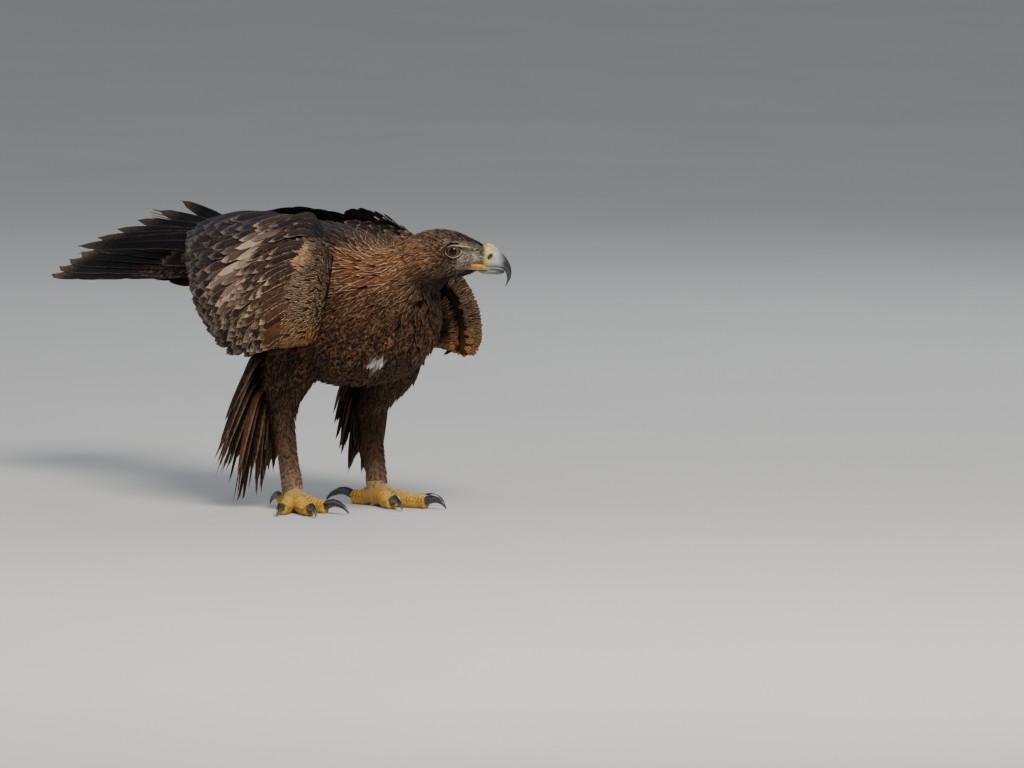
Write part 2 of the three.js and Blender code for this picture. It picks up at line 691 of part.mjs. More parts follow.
const nodes = {
  torso: [torso, BROWN],
  neck: [neck, GOLD],
  head: [faceNodes.head, GOLD],
  cere: [faceNodes.cere, YELLOW],
  bill_upper: [faceNodes.bill_upper, HORN],
  bill_lower: [faceNodes.bill_lower, HORN],
  eye_left: [eyeball(1), AMBER],
  eye_right: [eyeball(-1), AMBER],
  tail: [tail().subtract(bodyClear), DARK],
};
for (const way of [-1, 1]) {
  const limbs = leg(way);
  const shapes = Object.entries(limbs);
  const side = way > 0 ? "left" : "right";
  nodes[`wing_${side}`] = [wing(way).subtract(bodyClear).subtract(legClear(way)), BROWN];
  for (const [name, shape] of shapes) {
    const material = name.startsWith("claw") ? BLACK : name.startsWith("foot") ? YELLOW : RUST;
    nodes[name] = [shape, material];
  }
}

const bird = new THREE.Group();
for (const [name, [shape, material]] of Object.entries(nodes)) {
  const { vertProperties, triVerts } = largest(shape).getMesh();
  const geometry = new THREE.BufferGeometry();
  geometry.setAttribute("position", new THREE.BufferAttribute(vertProperties, 3));
  geometry.setIndex(new THREE.BufferAttribute(triVerts, 1));
  geometry.computeVertexNormals();
  const mesh = new THREE.Mesh(geometry, material);
  mesh.name = name;
  bird.add(mesh);
}

// The origin is on the floor under the middle of the bird's bounding box.
const centre = new THREE.Box3().setFromObject(bird).getCenter(new THREE.Vector3());
bird.position.set(-centre.x, -centre.y, 0);
const eagle = new THREE.Group();
eagle.add(bird);
export default eagle;
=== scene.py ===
"""A life-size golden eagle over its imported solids.

Shapes are worked out in millimetres in the bird's own frame: x to its left, y behind it, z up. Each mesh goes
to metres in the frame's place when it is made.
"""

import math

import bpy
import numpy as np
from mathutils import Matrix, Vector
from mathutils.bvhtree import BVHTree


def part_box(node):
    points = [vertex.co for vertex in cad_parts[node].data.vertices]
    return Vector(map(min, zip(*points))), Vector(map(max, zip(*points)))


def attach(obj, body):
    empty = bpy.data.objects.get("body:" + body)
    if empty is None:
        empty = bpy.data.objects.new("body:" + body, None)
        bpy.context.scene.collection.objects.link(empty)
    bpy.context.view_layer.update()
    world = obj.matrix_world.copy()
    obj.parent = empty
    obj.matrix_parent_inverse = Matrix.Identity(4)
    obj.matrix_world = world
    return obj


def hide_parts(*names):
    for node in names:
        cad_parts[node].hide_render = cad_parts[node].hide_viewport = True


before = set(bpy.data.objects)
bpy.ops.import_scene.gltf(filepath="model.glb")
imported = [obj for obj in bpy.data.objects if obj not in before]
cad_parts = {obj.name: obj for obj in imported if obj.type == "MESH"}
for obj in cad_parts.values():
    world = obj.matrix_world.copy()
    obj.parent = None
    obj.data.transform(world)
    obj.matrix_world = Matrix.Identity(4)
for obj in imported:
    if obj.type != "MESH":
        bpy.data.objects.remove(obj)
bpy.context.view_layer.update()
draw = np.random.default_rng(41)

UP = np.array([0.0, 0.0, 1.0])
AHEAD = np.array([0.0, -1.0, 0.0])
SIDES = {1: "left", -1: "right"}


# ---- measures shared with the solids
EYE = np.array([42.0, -165.0, 286.0])
HEAD_TURN = math.radians(50)
FORE = np.array([math.sin(HEAD_TURN), -math.cos(HEAD_TURN), 0.0])
SIDE = np.array([math.cos(HEAD_TURN), math.sin(HEAD_TURN), 0.0])
EYE_FORE, EYE_SIDE, EYE_UP = 1.0, 18.5, 0.5
EYE_RADIUS = 9.6
MOUTH = -18.6
# Rows of [left, ahead, up, half width, above, below]
TORSO = [
    [0, -196, 262, 10, 6, 8],
    [0, -184, 262, 22, 12, 16],
    [0, -150, 262, 40, 27, 32],
    [0, -100, 256, 60, 48, 52],
    [0, -45, 240, 74, 70, 78],
    [0, 10, 226, 80, 79, 90],
    [0, 60, 220, 81, 75, 86],
    [2, 100, 222, 70, 63, 74],
    [4, 130, 226, 50, 46, 54],
    [5, 148, 228, 26, 24, 30],
    [5, 154, 228, 8, 8, 10],
]
NECK = [
    [0, 48, 236, 56, 46, 52],
    [5, 84, 244, 51, 42, 48],
    [14, 114, 259, 43, 35, 41],
    [26, 140, 276, 36, 30, 36],
    [38, 160, 287, 30, 24, 31],
]
# Rows of [along the bill, up, half width, above, below] from between the eyes
SKULL = [
    [-52, -12, 22, 18, 22],
    [-42, -10, 31, 25, 28],
    [-28, -7, 35, 28, 30],
    [-13, -5, 34, 29, 30],
    [0, -4, 29, 26, 27],
    [12, -5, 23, 22, 21],
    [23, -6, 18, 18, 18],
    [33, -7, 13.5, 14, 17],
]
# Rows of [along and up at the ridge, along and up at the cutting edge, half width]
BILL = [
    [26, 8.5, 26, MOUTH + 0.3, 14.5],
    [32, 7.6, 32, MOUTH + 0.3, 13.2],
    [38, 6.4, 38, MOUTH + 0.3, 12],
    [44, 3.4, 43, MOUTH + 0.3, 10.6],
    [51, -2.6, 48, MOUTH + 0.1, 8.8],
    [57, -10, 52.4, -20.4, 6.8],
    [60.8, -19, 55.4, -24.4, 4.8],
    [60.4, -29, 56.6, -31, 2.8],
    [55, -38.4, 54.4, -38, 0.6],
]
# Rows as the skull's
LOWER_BILL = [
    [20, -21.6, 12.6, 2.4, 4],
    [33, -21.7, 11, 2.4, 3.8],
    [44, -21.9, 8.6, 2.2, 4],
    [50, -22.2, 5.6, 1.8, 3.2],
    [53.4, -22.6, 1.6, 0.8, 1.4],
]
WING_TOP = [[58, 76, 290], [50, 20, 308], [42, -50, 312], [38, -130, 312], [32, -212, 298]]
WING_FLANK = [[97, 106, 238], [124, 44, 236], [119, -35, 244], [97, -125, 262], [58, -214, 280]]
WING_LOW = [[106, 92, 180], [122, 36, 168], [126, -38, 174], [106, -126, 208], [62, -208, 256]]
LEFT_REACH = [14, 22, -16]
FALL = 15
# Rows of [share of the way back, depth under the wing's surface, thickness]
ARM = [
    [0, 0.5, 2],
    [0.016, 0.5, 22],
    [0.055, 0.5, 35],
    [0.14, 0.5, 34],
    [0.175, 4.5, 29],
    [0.28, 4.5, 26],
    [0.315, 9, 20],
    [0.43, 9, 17],
    [0.465, 14, 9],
    [0.56, 14, 5],
]
ARM_DEPTH = 20
TAIL_LENGTH = 285
TAIL_SPREAD = math.radians(16)
TAIL_TURN = math.radians(3)
TAIL_ROLL = math.radians(16)
TAIL_ROOT = [0, -158, 259]
HEEL = 108
STANCE = 55
FOOT_TURN = math.radians(19)
# Turn from the foot's own heading, length, thickness, and the claw's length and drop
TOES = {
    "inner": (-0.6, 45, 8.2, 37, 15),
    "middle": (0, 64, 8, 30, 11),
    "outer": (0.52, 50, 7.2, 25, 10),
    "hind": (math.pi - 0.08, 34, 8.6, 47, 19),
}


# ---- small geometry helpers
def unit(v):
    return v / np.maximum(np.linalg.norm(v, axis=-1, keepdims=True), 1e-9)


def mixed(a, b, f):
    return a + (b - a) * f


def ease(low, high, x):
    """A soft step from 0 at low to 1 at high."""
    f = np.clip((x - low) / (high - low), 0, 1)
    return f * f * (3 - 2 * f)


def place(left, ahead, up):
    """A point from how far it lies to the bird's left, ahead and up."""
    left, ahead, up = np.broadcast_arrays(left, ahead, up)
    return np.stack([left, -ahead, up], -1).astype(float)


def on_head(fore, side, up):
    """A point from how far it lies along the bill, to the head's left and up from between the eyes."""
    fore, side, up = (np.asarray(v, float)[..., None] for v in (fore, side, up))
    return EYE + fore * FORE + side * SIDE + up * UP


def from_head(points):
    """How far points lie along the bill, to the head's left and up from between the eyes."""
    away = points - EYE
    return np.stack([away @ FORE, away @ SIDE, away[..., 2]], -1)


def between(rows, t):
    """Rows of numbers read at t from 0 to 1 along a smooth curve through them."""
    rows = np.asarray(rows, float)
    last = len(rows) - 1
    spot = np.clip(np.asarray(t, float), 0, 1) * last
    i = np.minimum(spot.astype(int), last - 1)
    f = (spot - i)[..., None]
    a, b, d, e = (rows[np.clip(i + k, 0, last)] for k in (-1, 0, 1, 2))
    return b + 0.5 * f * (d - a + f * (2 * a - 5 * b + 4 * d - e + f * (3 * (b - d) + e - a)))


SQUARE = 2.3


def loft_rings(rows, rings, sides, grow=0.0, top=UP):
    """Rings of points round rows of [left, ahead, up, half width, above, below]."""
    t = np.linspace(0, 1, rings)
    values = between(rows, t)

    def centre_at(at):
        r = between(rows, at)
        return place(r[:, 0], r[:, 1], r[:, 2])

    along = unit(centre_at(np.minimum(t + 0.01, 1)) - centre_at(np.maximum(t - 0.01, 0)))
    side = unit(np.cross(top, along))
    rise = np.cross(along, side)
    centre = centre_at(t)
    centre[0] -= along[0] * grow
    centre[-1] += along[-1] * grow
    turn = 2 * np.pi * (np.arange(sides) + 0.5) / sides
    flat = np.sign(np.cos(turn)) * np.abs(np.cos(turn)) ** (2 / SQUARE)
    tall = np.sign(np.sin(turn)) * np.abs(np.sin(turn)) ** (2 / SQUARE)
    wide = np.maximum(values[:, 3:4] + grow, 0.5) * flat
    reach = np.where(np.sin(turn) > 0, values[:, 4:5], values[:, 5:6])
    high = np.maximum(reach + grow, 0.5) * tall
    return centre[:, None] + side[:, None] * wide[..., None] + rise[:, None] * high[..., None]


def skin_rings(rings):
    """Points and faces of a closed skin over rings, with a fan at each end."""
    count, sides = rings.shape[:2]
    points = np.concatenate([rings.reshape(-1, 3), [rings[0].mean(0)], [rings[-1].mean(0)]])
    i, j = np.meshgrid(np.arange(count - 1), np.arange(sides), indexing="ij")
    a = (i * sides + j).ravel()
    b = (i * sides + (j + 1) % sides).ravel()
    faces = np.stack([a, b, b + sides, a + sides], -1).tolist()
    near, far = count * sides, count * sides + 1
    top = (count - 1) * sides
    for j in range(sides):
        k = (j + 1) % sides
        faces.append([near, k, j])
        faces.append([far, top + j, top + k])
    return points, faces


def head_rows(rows):
    out = []
    for fore, up, *rest in rows:
        x, y, z = on_head(fore, 0, up)
        out.append([x, -y, z, *rest])
    return out


def box_middle(node):
    low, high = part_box(node)
    return (np.array(low) + np.array(high)) / 2


ORIGIN = (box_middle("eye_left") + box_middle("eye_right")) / 2 - on_head(EYE_FORE, 0, EYE_UP) / 1000


def metres(points):
    return np.asarray(points, float) / 1000 + ORIGIN


# ---- meshes
def give_colour(mesh, key, values):
    layer = mesh.color_attributes.new(key, "FLOAT_COLOR", "POINT")
    rgba = np.ones((len(mesh.vertices), 4), np.float32)
    rgba[:, :3] = values
    layer.data.foreach_set("color", rgba.ravel())


def make_mesh(name, points, faces, uvs=None, colours=None, sharp=None):
    """A mesh in metres from points in millimetres, with maps and colours given point by point."""
    mesh = bpy.data.meshes.new(name)
    mesh.from_pydata(metres(points).tolist(), [], faces)
    corners = np.empty(len(mesh.loops), np.int32)
    mesh.loops.foreach_get("vertex_index", corners)
    for key, values in (uvs or {}).items():
        layer = mesh.uv_layers.new(name=key)
        layer.uv.foreach_set("vector", np.asarray(values, np.float32)[corners].ravel())
    for key, values in (colours or {}).items():
        give_colour(mesh, key, values)
    mesh.shade_smooth()
    if sharp:
        mesh.set_sharp_from_angle(angle=math.radians(sharp))
    return mesh


def show(name, mesh, material, slot, *nodes):
    """Puts a mesh in the scene as a piece on the body, in place of the named nodes."""
    piece = bpy.data.objects.new(name, mesh)
    bpy.context.scene.collection.objects.link(piece)
    mesh.materials.clear()
    mesh.materials.append(material)
    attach(piece, "root")
    if nodes:
        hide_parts(*nodes)


def joined(shells):
    """Several closed shells as the points and faces of one mesh."""
    points, faces, start = [], [], 0
    for shell_points, shell_faces in shells:
        points.append(shell_points)
        faces += [[start + k for k in face] for face in shell_faces]
        start += len(shell_points)
    return np.concatenate(points), faces


def flesh_out(name, shells, voxel, rounds):
    """One skin round overlapping closed shells, in millimetres: points and faces."""
    mesh = make_mesh(name, *joined(shells))
    rough = bpy.data.objects.new(name, mesh)
    bpy.context.scene.collection.objects.link(rough)
    remesh = rough.modifiers.new("Join", "REMESH")
    remesh.mode = "VOXEL"
    remesh.voxel_size = voxel / 1000
    calm = rough.modifiers.new("Calm", "SMOOTH")
    calm.factor = 0.5
    calm.iterations = rounds
    made = rough.evaluated_get(bpy.context.evaluated_depsgraph_get()).to_mesh()
    co = np.empty(len(made.vertices) * 3)
    made.vertices.foreach_get("co", co)
    polygons = [list(p.vertices) for p in made.polygons]
    bpy.data.objects.remove(rough)
    bpy.data.meshes.remove(mesh)
    return (co.reshape(-1, 3) - ORIGIN) * 1000, polygons


class Ground:
    """A skin that feathers grow from and lie along."""

    def __init__(self, points, faces, marks=None):
        self.points = points
        self.tree = BVHTree.FromPolygons(points.tolist(), faces)
        triangles = []
        for face in faces:
            triangles.append(face[:3])
            if len(face) == 4:
                triangles.append([face[0], face[2], face[3]])
        self.triangles = np.array(triangles)
        a, b, c = (points[self.triangles[:, k]] for k in range(3))
        cross = np.cross(b - a, c - a)
        self.area = np.linalg.norm(cross, axis=1) / 2
        self.normal = unit(cross)
        self.marks = marks

    def scatter(self, count):
        """Places spread over the skin, with their normals and the marks that its points carry."""
        pick = draw.choice(len(self.area), count, p=self.area / self.area.sum())
        u, v = draw.random((2, count))
        turn = u + v > 1
        u[turn], v[turn] = 1 - u[turn], 1 - v[turn]
        share = np.stack([1 - u - v, u, v], -1)
        corners = self.triangles[pick]
        spots = (self.points[corners] * share[..., None]).sum(1)
        marks = None if self.marks is None else (self.marks[corners] * share[..., None]).sum(1)
        return spots, self.normal[pick], marks

    def lay(self, points):
        """The nearest places on the skin and the normals there."""
        spots, normals = np.empty_like(points), np.empty_like(points)
        nearest = self.tree.find_nearest
        for k, p in enumerate(points.tolist()):
            spot, normal, _, _ = nearest(p)
            spots[k], normals[k] = spot, normal
        return spots, normals


def thin_out(spots, spacing):
    """Which of the spots stay when each keeps its own distance from the ones before it."""
    cell = float(spacing.max())
    grid, kept = {}, []
    for k, (p, gap) in enumerate(zip(spots.tolist(), spacing.tolist())):
        key = (int(p[0] // cell), int(p[1] // cell), int(p[2] // cell))
        near = False
        for dx in (-1, 0, 1):
            for dy in (-1, 0, 1):
                for dz in (-1, 0, 1):
                    for q in grid.get((key[0] + dx, key[1] + dy, key[2] + dz), ()):
                        if (p[0] - q[0]) ** 2 + (p[1] - q[1]) ** 2 + (p[2] - q[2]) ** 2 < gap * gap:
                            near = True
                            break
        if not near:
            grid.setdefault(key, []).append(p)
            kept.append(k)
    return np.array(kept)


def linear(hexes):
    """Colours written as RRGGBB, as the shader's linear values."""
    rgb = np.array([[int(h[k : k + 2], 16) / 255 for k in (0, 2, 4)] for h in hexes])
    return np.where(rgb < 0.04045, rgb / 12.92, ((rgb + 0.055) / 1.055) ** 2.4)


class Plumage:
    """How the coat looks from place to place: a few places' colours and sizes, blended by nearness."""

    def __init__(self, rows):
        self.spots = np.array([r[0] for r in rows], float)
        self.values = np.concatenate([linear([r[1] for r in rows]), [[*r[2], *r[3]] for r in rows]], 1)

    def at(self, points, power):
        away = np.linalg.norm(points[:, None] - self.spots[None], axis=2)
        weight = 1 / (away + 2.0) ** power
        weight /= weight.sum(1, keepdims=True)
        return weight @ self.values


def fields(values):
    """Splits blended plumage into tint, marks, sizes and flow."""
    return {
        "tint": values[:, 0:3],
        "marks": values[:, 3:6],
        "long": values[:, 6],
        "wide": values[:, 7],
        "gap": values[:, 8],
        "lift": values[:, 9],
        "point": values[:, 10],
        "flow": values[:, 11:14],
    }


# ---- feathers as closed vanes
def vane_width(v, point):
    """Share of a feather's full width along it, from round-ended at point 0 to lance-shaped at 1."""
    grow = np.minimum(1, 0.5 + 1.5 * v)
    past = np.clip((v - 0.5) / 0.5, 0, 1)
    round_end = np.sqrt(np.clip(1 - past**2.8, 0, 1))
    lance = (1 - past) ** 0.8
    return grow * mixed(round_end, lance, point)


class Bundle:
    """Many feathers gathered to be made one mesh. Each is a grid of rows by columns of points."""

    def __init__(self):
        self.points, self.faces, self.vane, self.bake, self.tint, self.marks = [], [], [], [], [], []
        self.count = 0

    def add(self, grid, vane, bake, tint, marks):
        """grid (N,R,C,3), vane (N,R,C,2), bake (N,R,C,2), tint and marks (N,3) or (N,R,C,3)."""
        n, rows, columns = grid.shape[:3]
        index = np.arange(rows * columns).reshape(rows, columns)
        a, b = index[:-1, :-1].ravel(), index[:-1, 1:].ravel()
        c, d = index[1:, 1:].ravel(), index[1:, :-1].ravel()
        faces = np.stack([a, b, c, d], -1).tolist()
        for r in range(rows - 1):
            faces.append([index[r, 0], index[r + 1, 0], index[r + 1, -1], index[r, -1]])
        caps = [index[0, ::-1].tolist(), index[-1].tolist()]
        shift = self.count + np.arange(n)[:, None, None] * rows * columns
        # A feather drawn the other way round has its faces turned, so that all look outwards.
        near = grid.reshape(n, -1, 3) - grid.reshape(n, -1, 3)[:, :1]
        volume = np.zeros(n)
        for face in faces + caps:
            for second, third in zip(face[1:-1], face[2:]):
                cross = np.cross(near[:, second], near[:, third])
                volume += (near[:, face[0]] * cross).sum(1)
        turned = volume < 0
        quads = np.array(faces)[None] + shift
        quads[turned] = quads[turned][:, :, ::-1]
        self.faces += quads.reshape(-1, 4).tolist()
        for cap in caps:
            ends = np.array(cap)[None] + shift[:, 0]
            ends[turned] = ends[turned][:, ::-1]
            self.faces += ends.tolist()
        self.points.append(grid.reshape(-1, 3))
        self.vane.append(vane.reshape(-1, 2))
        self.bake.append(bake.reshape(-1, 2))
        for store, values in ((self.tint, tint), (self.marks, marks)):
            if values.ndim == 2:
                values = np.broadcast_to(values[:, None, None], grid.shape)
            store.append(values.reshape(-1, 3))
        self.count += n * rows * columns

    def mesh(self, name):
        uvs = {"Vane": np.concatenate(self.vane), "OFBake": np.concatenate(self.bake)}
        colours = {"tint": np.concatenate(self.tint), "marks": np.concatenate(self.marks)}
        return make_mesh(name, np.concatenate(self.points), self.faces, uvs, colours, sharp=60)


def vane_places(n, rows, columns, cell, corner):
    """Each feather's own map and its patch of the coat's map, for N feathers."""
    v = np.linspace(0, 1, rows)
    x = np.linspace(0, 1, columns)
    vane = np.empty((n, rows, columns, 2))
    vane[..., 0] = x[None, None, :]
    vane[..., 1] = v[None, :, None]
    bake = corner[:, None, None, :] + (vane - 0.5) * cell
    return vane, bake


# A small feather's grid, how far its vane bows, how ragged its end is, and its patch of the coat's map
SMALL_ROWS, SMALL_COLUMNS = 6, 5
CAMBER = 0.12
RAGGED = 0.06
SMALL_PATCH = 0.003


def small_feathers(ground, spots, normals, look, corner):
    """Feathers rooted at spots on a skin, each laid along it in its flow with its tip over the next."""
    n, rows, columns = len(spots), SMALL_ROWS, SMALL_COLUMNS
    long = look["long"] * draw.uniform(0.82, 1.18, n)
    wide = look["wide"] * draw.uniform(0.85, 1.12, n)
    flow = look["flow"] + draw.normal(0, 0.09, (n, 3))
    spine = np.empty((n, rows, 3))
    normal = np.empty((n, rows, 3))
    here, up = spots.copy(), normals.copy()
    steps = long / (rows - 1)
    for r in range(rows):
        spine[:, r], normal[:, r] = here, up
        if r < rows - 1:
            ahead = unit(flow - up * (flow * up).sum(1, keepdims=True))
            here, up = ground.lay(here + ahead * steps[:, None])
            up = unit(0.6 * up + 0.4 * normal[:, r])
    v = np.linspace(0, 1, rows)
    raise_by = -1.2 + (1.2 + look["lift"][:, None] * draw.uniform(0.75, 1.2, (n, 1))) * v[None] ** 0.8
    raise_by = raise_by + draw.uniform(-0.25, 0.35, (n, 1))
    spine = spine + normal * raise_by[..., None]
    tangent = unit(np.gradient(spine, axis=1))
    side = unit(np.cross(tangent, normal))
    x = np.linspace(-1, 1, columns)
    share = vane_width(v[None], look["point"][:, None])
    half = 0.5 * wide[:, None] * np.maximum(share, 0.05)
    grid = spine[:, :, None] + side[:, :, None] * (half[..., None] * x)[..., None]
    bow = -CAMBER * half[..., None] * x**2 * 2
    grid = grid + normal[:, :, None] * bow[..., None]
    fray = draw.normal(0, 1, (n, 1, columns)) * (long * RAGGED)[:, None, None] * (v[None, :, None] ** 3)
    point = -0.12 * (look["point"] * long)[:, None, None] * (x**2)[None, None] * (v**4)[None, :, None]
    grid = grid + tangent[:, :, None] * (fray + point)[..., None]
    vane, bake = vane_places(n, rows, columns, SMALL_PATCH, corner)
    tint = look["tint"] * draw.normal(1, 0.13, (n, 1)).clip(0.6, 1.5)
    marks = look["marks"] * draw.uniform(0.5, 1.4, (n, 3))
    return grid, vane, bake, tint, marks


# ---- finishes
class Finish:
    """A material under construction: its nodes, and short ways to join them."""

    def __init__(self, name, **surface):
        self.material = bpy.data.materials.new(name)
        self.material.use_nodes = True
        self.tree = self.material.node_tree
        self.tree.nodes.clear()
        out = self.tree.nodes.new("ShaderNodeOutputMaterial")
        self.shader = self.tree.nodes.new("ShaderNodeBsdfPrincipled")
        self.tree.links.new(self.shader.outputs[0], out.inputs[0])
        for key, value in surface.items():
            self.shader.inputs[key.replace("_", " ").title().replace("Ior", "IOR")].default_value = value

    def put(self, socket, value):
        if isinstance(value, bpy.types.NodeSocket):
            self.tree.links.new(value, socket)
        elif isinstance(value, tuple) and len(value) == 3 and len(socket.default_value) == 4:
            socket.default_value = (*value, 1)
        else:
            socket.default_value = value

    def calc(self, operation, *values, clamp=False):
        node = self.tree.nodes.new("ShaderNodeMath")
        node.operation = operation
        node.use_clamp = clamp
        for socket, value in zip(node.inputs, values):
            self.put(socket, value)
        return node.outputs[0]

    def ramp(self, value, low, high, bottom=0.0, top=1.0):
        node = self.tree.nodes.new("ShaderNodeMapRange")
        node.interpolation_type = "SMOOTHSTEP"
        for socket, v in zip(node.inputs, (value, low, high, bottom, top)):
            self.put(socket, v)
        return node.outputs[0]

    def blend(self, factor, a, b, mode="MIX"):
        node = self.tree.nodes.new("ShaderNodeMix")
        node.data_type = "RGBA"
        node.blend_type = mode
        self.put(node.inputs[0], factor)
        self.put(node.inputs[6], a)
        self.put(node.inputs[7], b)
        return node.outputs[2]

    def noise(self, scale, vector=None, detail=3.0, stretch=None, rough=0.55):
        node = self.tree.nodes.new("ShaderNodeTexNoise")
        if vector is None:
            vector = self.tree.nodes.new("ShaderNodeTexCoord").outputs["Object"]
        if stretch:
            turn = self.tree.nodes.new("ShaderNodeMapping")
            turn.inputs["Scale"].default_value = stretch
            self.put(turn.inputs["Vector"], vector)
            vector = turn.outputs[0]
        self.put(node.inputs["Vector"], vector)
        node.inputs["Scale"].default_value = scale
        node.inputs["Detail"].default_value = detail
        node.inputs["Roughness"].default_value = rough
        return node.outputs["Fac"]

    def colour(self, name):
        node = self.tree.nodes.new("ShaderNodeAttribute")
        node.attribute_name = name
        return node.outputs["Color"]

    def split(self, vector):
        node = self.tree.nodes.new("ShaderNodeSeparateXYZ")
        self.put(node.inputs[0], vector)
        return node.outputs

    def map(self, name):
        node = self.tree.nodes.new("ShaderNodeUVMap")
        node.uv_map = name
        return node.outputs[0]

    def bump(self, height, distance, strength=1.0, under=None):
        node = self.tree.nodes.new("ShaderNodeBump")
        node.inputs["Strength"].default_value = strength
        node.inputs["Distance"].default_value = distance
        self.put(node.inputs["Height"], height)
        if under is not None:
            self.put(node.inputs["Normal"], under)
        return node.outputs[0]

    def done(self, colour, rough, normal=None):
        self.put(self.shader.inputs["Base Color"], colour)
        self.put(self.shader.inputs["Roughness"], rough)
        if normal is not None:
            self.put(self.shader.inputs["Normal"], normal)
        return self.material


PALE_EDGE = (0.50, 0.36, 0.24)


def feather_finish(name, barbs, slope, edge, fine, mottles=(0.17, 0.078, 0.034), root=0.42, shine=0.1):
    """A feather's vane: shaft, slanting barbs, a pale worn edge, mottled base and a root darkened as painted
    shade where the next feathers lie over it.
    """
    f = Finish(name, sheen_weight=0.02, sheen_roughness=0.4, specular_ior_level=shine)
    tint = f.colour("tint")
    rim, mottle, gloss = f.split(f.colour("marks"))
    x, v, _ = f.split(f.map("Vane"))
    across = f.calc("ABSOLUTE", f.calc("MULTIPLY_ADD", x, 2.0, -1.0))
    patchy = f.noise(420.0, detail=2.0)
    blotch = f.noise(95.0, detail=4.0, rough=0.65)
    wobble = f.calc("MULTIPLY_ADD", patchy, 0.5, -0.25)
    side = f.ramp(f.calc("ADD", across, wobble), 1 - edge, 1.02)
    tip = f.ramp(f.calc("ADD", v, f.calc("MULTIPLY", wobble, 0.4)), 0.86, 1.0)
    worn = f.calc("MAXIMUM", side, tip)
    worn = f.calc("MULTIPLY", worn, f.ramp(v, 0.25, 0.6))
    worn = f.calc("MULTIPLY", worn, rim, clamp=True)
    lines = f.calc("MULTIPLY_ADD", v, barbs, f.calc("MULTIPLY", across, -slope))
    lines = f.calc("ADD", lines, f.calc("MULTIPLY", patchy, 1.6))
    barb = f.calc("MULTIPLY_ADD", f.calc("SINE", lines), 0.5, 0.5)
    base = f.blend(f.calc("MULTIPLY", barb, 0.24), tint, (0.008, 0.006, 0.005))
    streak = f.ramp(blotch, 0.35, 0.7)
    base = f.blend(f.calc("MULTIPLY", streak, 0.3), base, (0.0, 0.0, 0.0))
    dapple = f.calc("MULTIPLY", f.ramp(f.noise(240.0, detail=5.0, rough=0.7), 0.46, 0.6), mottle, clamp=True)
    base = f.blend(dapple, base, mottles)
    pale = f.blend(0.42, PALE_EDGE, tint, "ADD")
    pale = f.blend(f.calc("MULTIPLY", barb, 0.3), pale, tint)
    base = f.blend(worn, base, pale)
    # painted shade: each vane darkens from its tip down to the share root at its base, under the feathers
    # that overlap it
    shade = f.ramp(v, 0.0, 0.55, root, 1.0)
    deep = f.tree.nodes.new("ShaderNodeVectorMath")
    deep.operation = "SCALE"
    f.put(deep.inputs[0], base)
    f.put(deep.inputs["Scale"], shade)
    shaft = f.ramp(across, 0.0, 0.07, 1.0, 0.0)
    shaft = f.calc("MULTIPLY", shaft, f.ramp(v, 0.6, 0.95, 0.5, 0.0))
    colour = f.blend(shaft, deep.outputs[0], (0.10, 0.065, 0.04))
    rough = f.calc("MULTIPLY_ADD", gloss, -0.2, 0.74)
    rough = f.calc("ADD", rough, f.calc("MULTIPLY", f.calc("SUBTRACT", patchy, 0.5), 0.2))
    height = f.calc("ADD", f.calc("MULTIPLY", barb, 0.6), f.calc("MULTIPLY", shaft, 1.0))
    return f.done(colour, rough, f.bump(height, fine, 0.7))


def skin_finish():
    f = Finish("Under_down", specular_ior_level=0.08)
    grain = f.noise(900.0, detail=4.0)
    colour = f.blend(f.ramp(grain, 0.3, 0.7, 0.0, 0.6), f.colour("tint"), (0.01, 0.008, 0.006))
    return f.done(colour, 0.9, f.bump(grain, 0.0006))


def bill_finish(name, rough, coat):
    """Horn with fine growth lines along it, over colours carried by the mesh."""
    f = Finish(name, coat_weight=coat, coat_roughness=0.16, specular_ior_level=0.5)
    grain = f.noise(260.0, detail=5.0, rough=0.6)
    flakes = f.noise(900.0, detail=3.0, stretch=(1.0, 1.0, 0.25))
    dull = f.ramp(grain, 0.35, 0.7, 0.0, rough)
    colour = f.blend(dull, f.colour("tint"), (0.05, 0.045, 0.04))
    colour = f.blend(f.ramp(flakes, 0.55, 0.75, 0.0, 0.25), colour, (0.55, 0.52, 0.46))
    gloss = f.calc("MULTIPLY_ADD", grain, 0.22, rough - 0.1)
    return f.done(colour, gloss, f.bump(f.calc("ADD", grain, flakes), 0.00018, 0.6))


def toe_finish():
    """Scaly yellow skin of the toes: small cells, dark in their creases, over colours carried by the mesh."""
    f = Finish("Toe_skin", coat_weight=0.12, coat_roughness=0.3, specular_ior_level=0.4)
    cells = f.tree.nodes.new("ShaderNodeTexVoronoi")
    cells.feature = "DISTANCE_TO_EDGE"
    place_by = f.tree.nodes.new("ShaderNodeTexCoord").outputs["Object"]
    f.put(cells.inputs["Vector"], place_by)
    cells.inputs["Scale"].default_value = 620.0
    crease = f.ramp(cells.outputs["Distance"], 0.02, 0.14, 1.0, 0.0)
    stain = f.noise(150.0, detail=4.0)
    colour = f.blend(f.calc("MULTIPLY", crease, 0.55), f.colour("tint"), (0.16, 0.075, 0.015))
    colour = f.blend(f.ramp(stain, 0.5, 0.75, 0.0, 0.4), colour, (0.30, 0.17, 0.05))
    height = f.calc("SUBTRACT", f.calc("MULTIPLY", stain, 0.5), crease)
    return f.done(colour, f.ramp(stain, 0.3, 0.7, 0.38, 0.6), f.bump(height, 0.0005, 0.9))


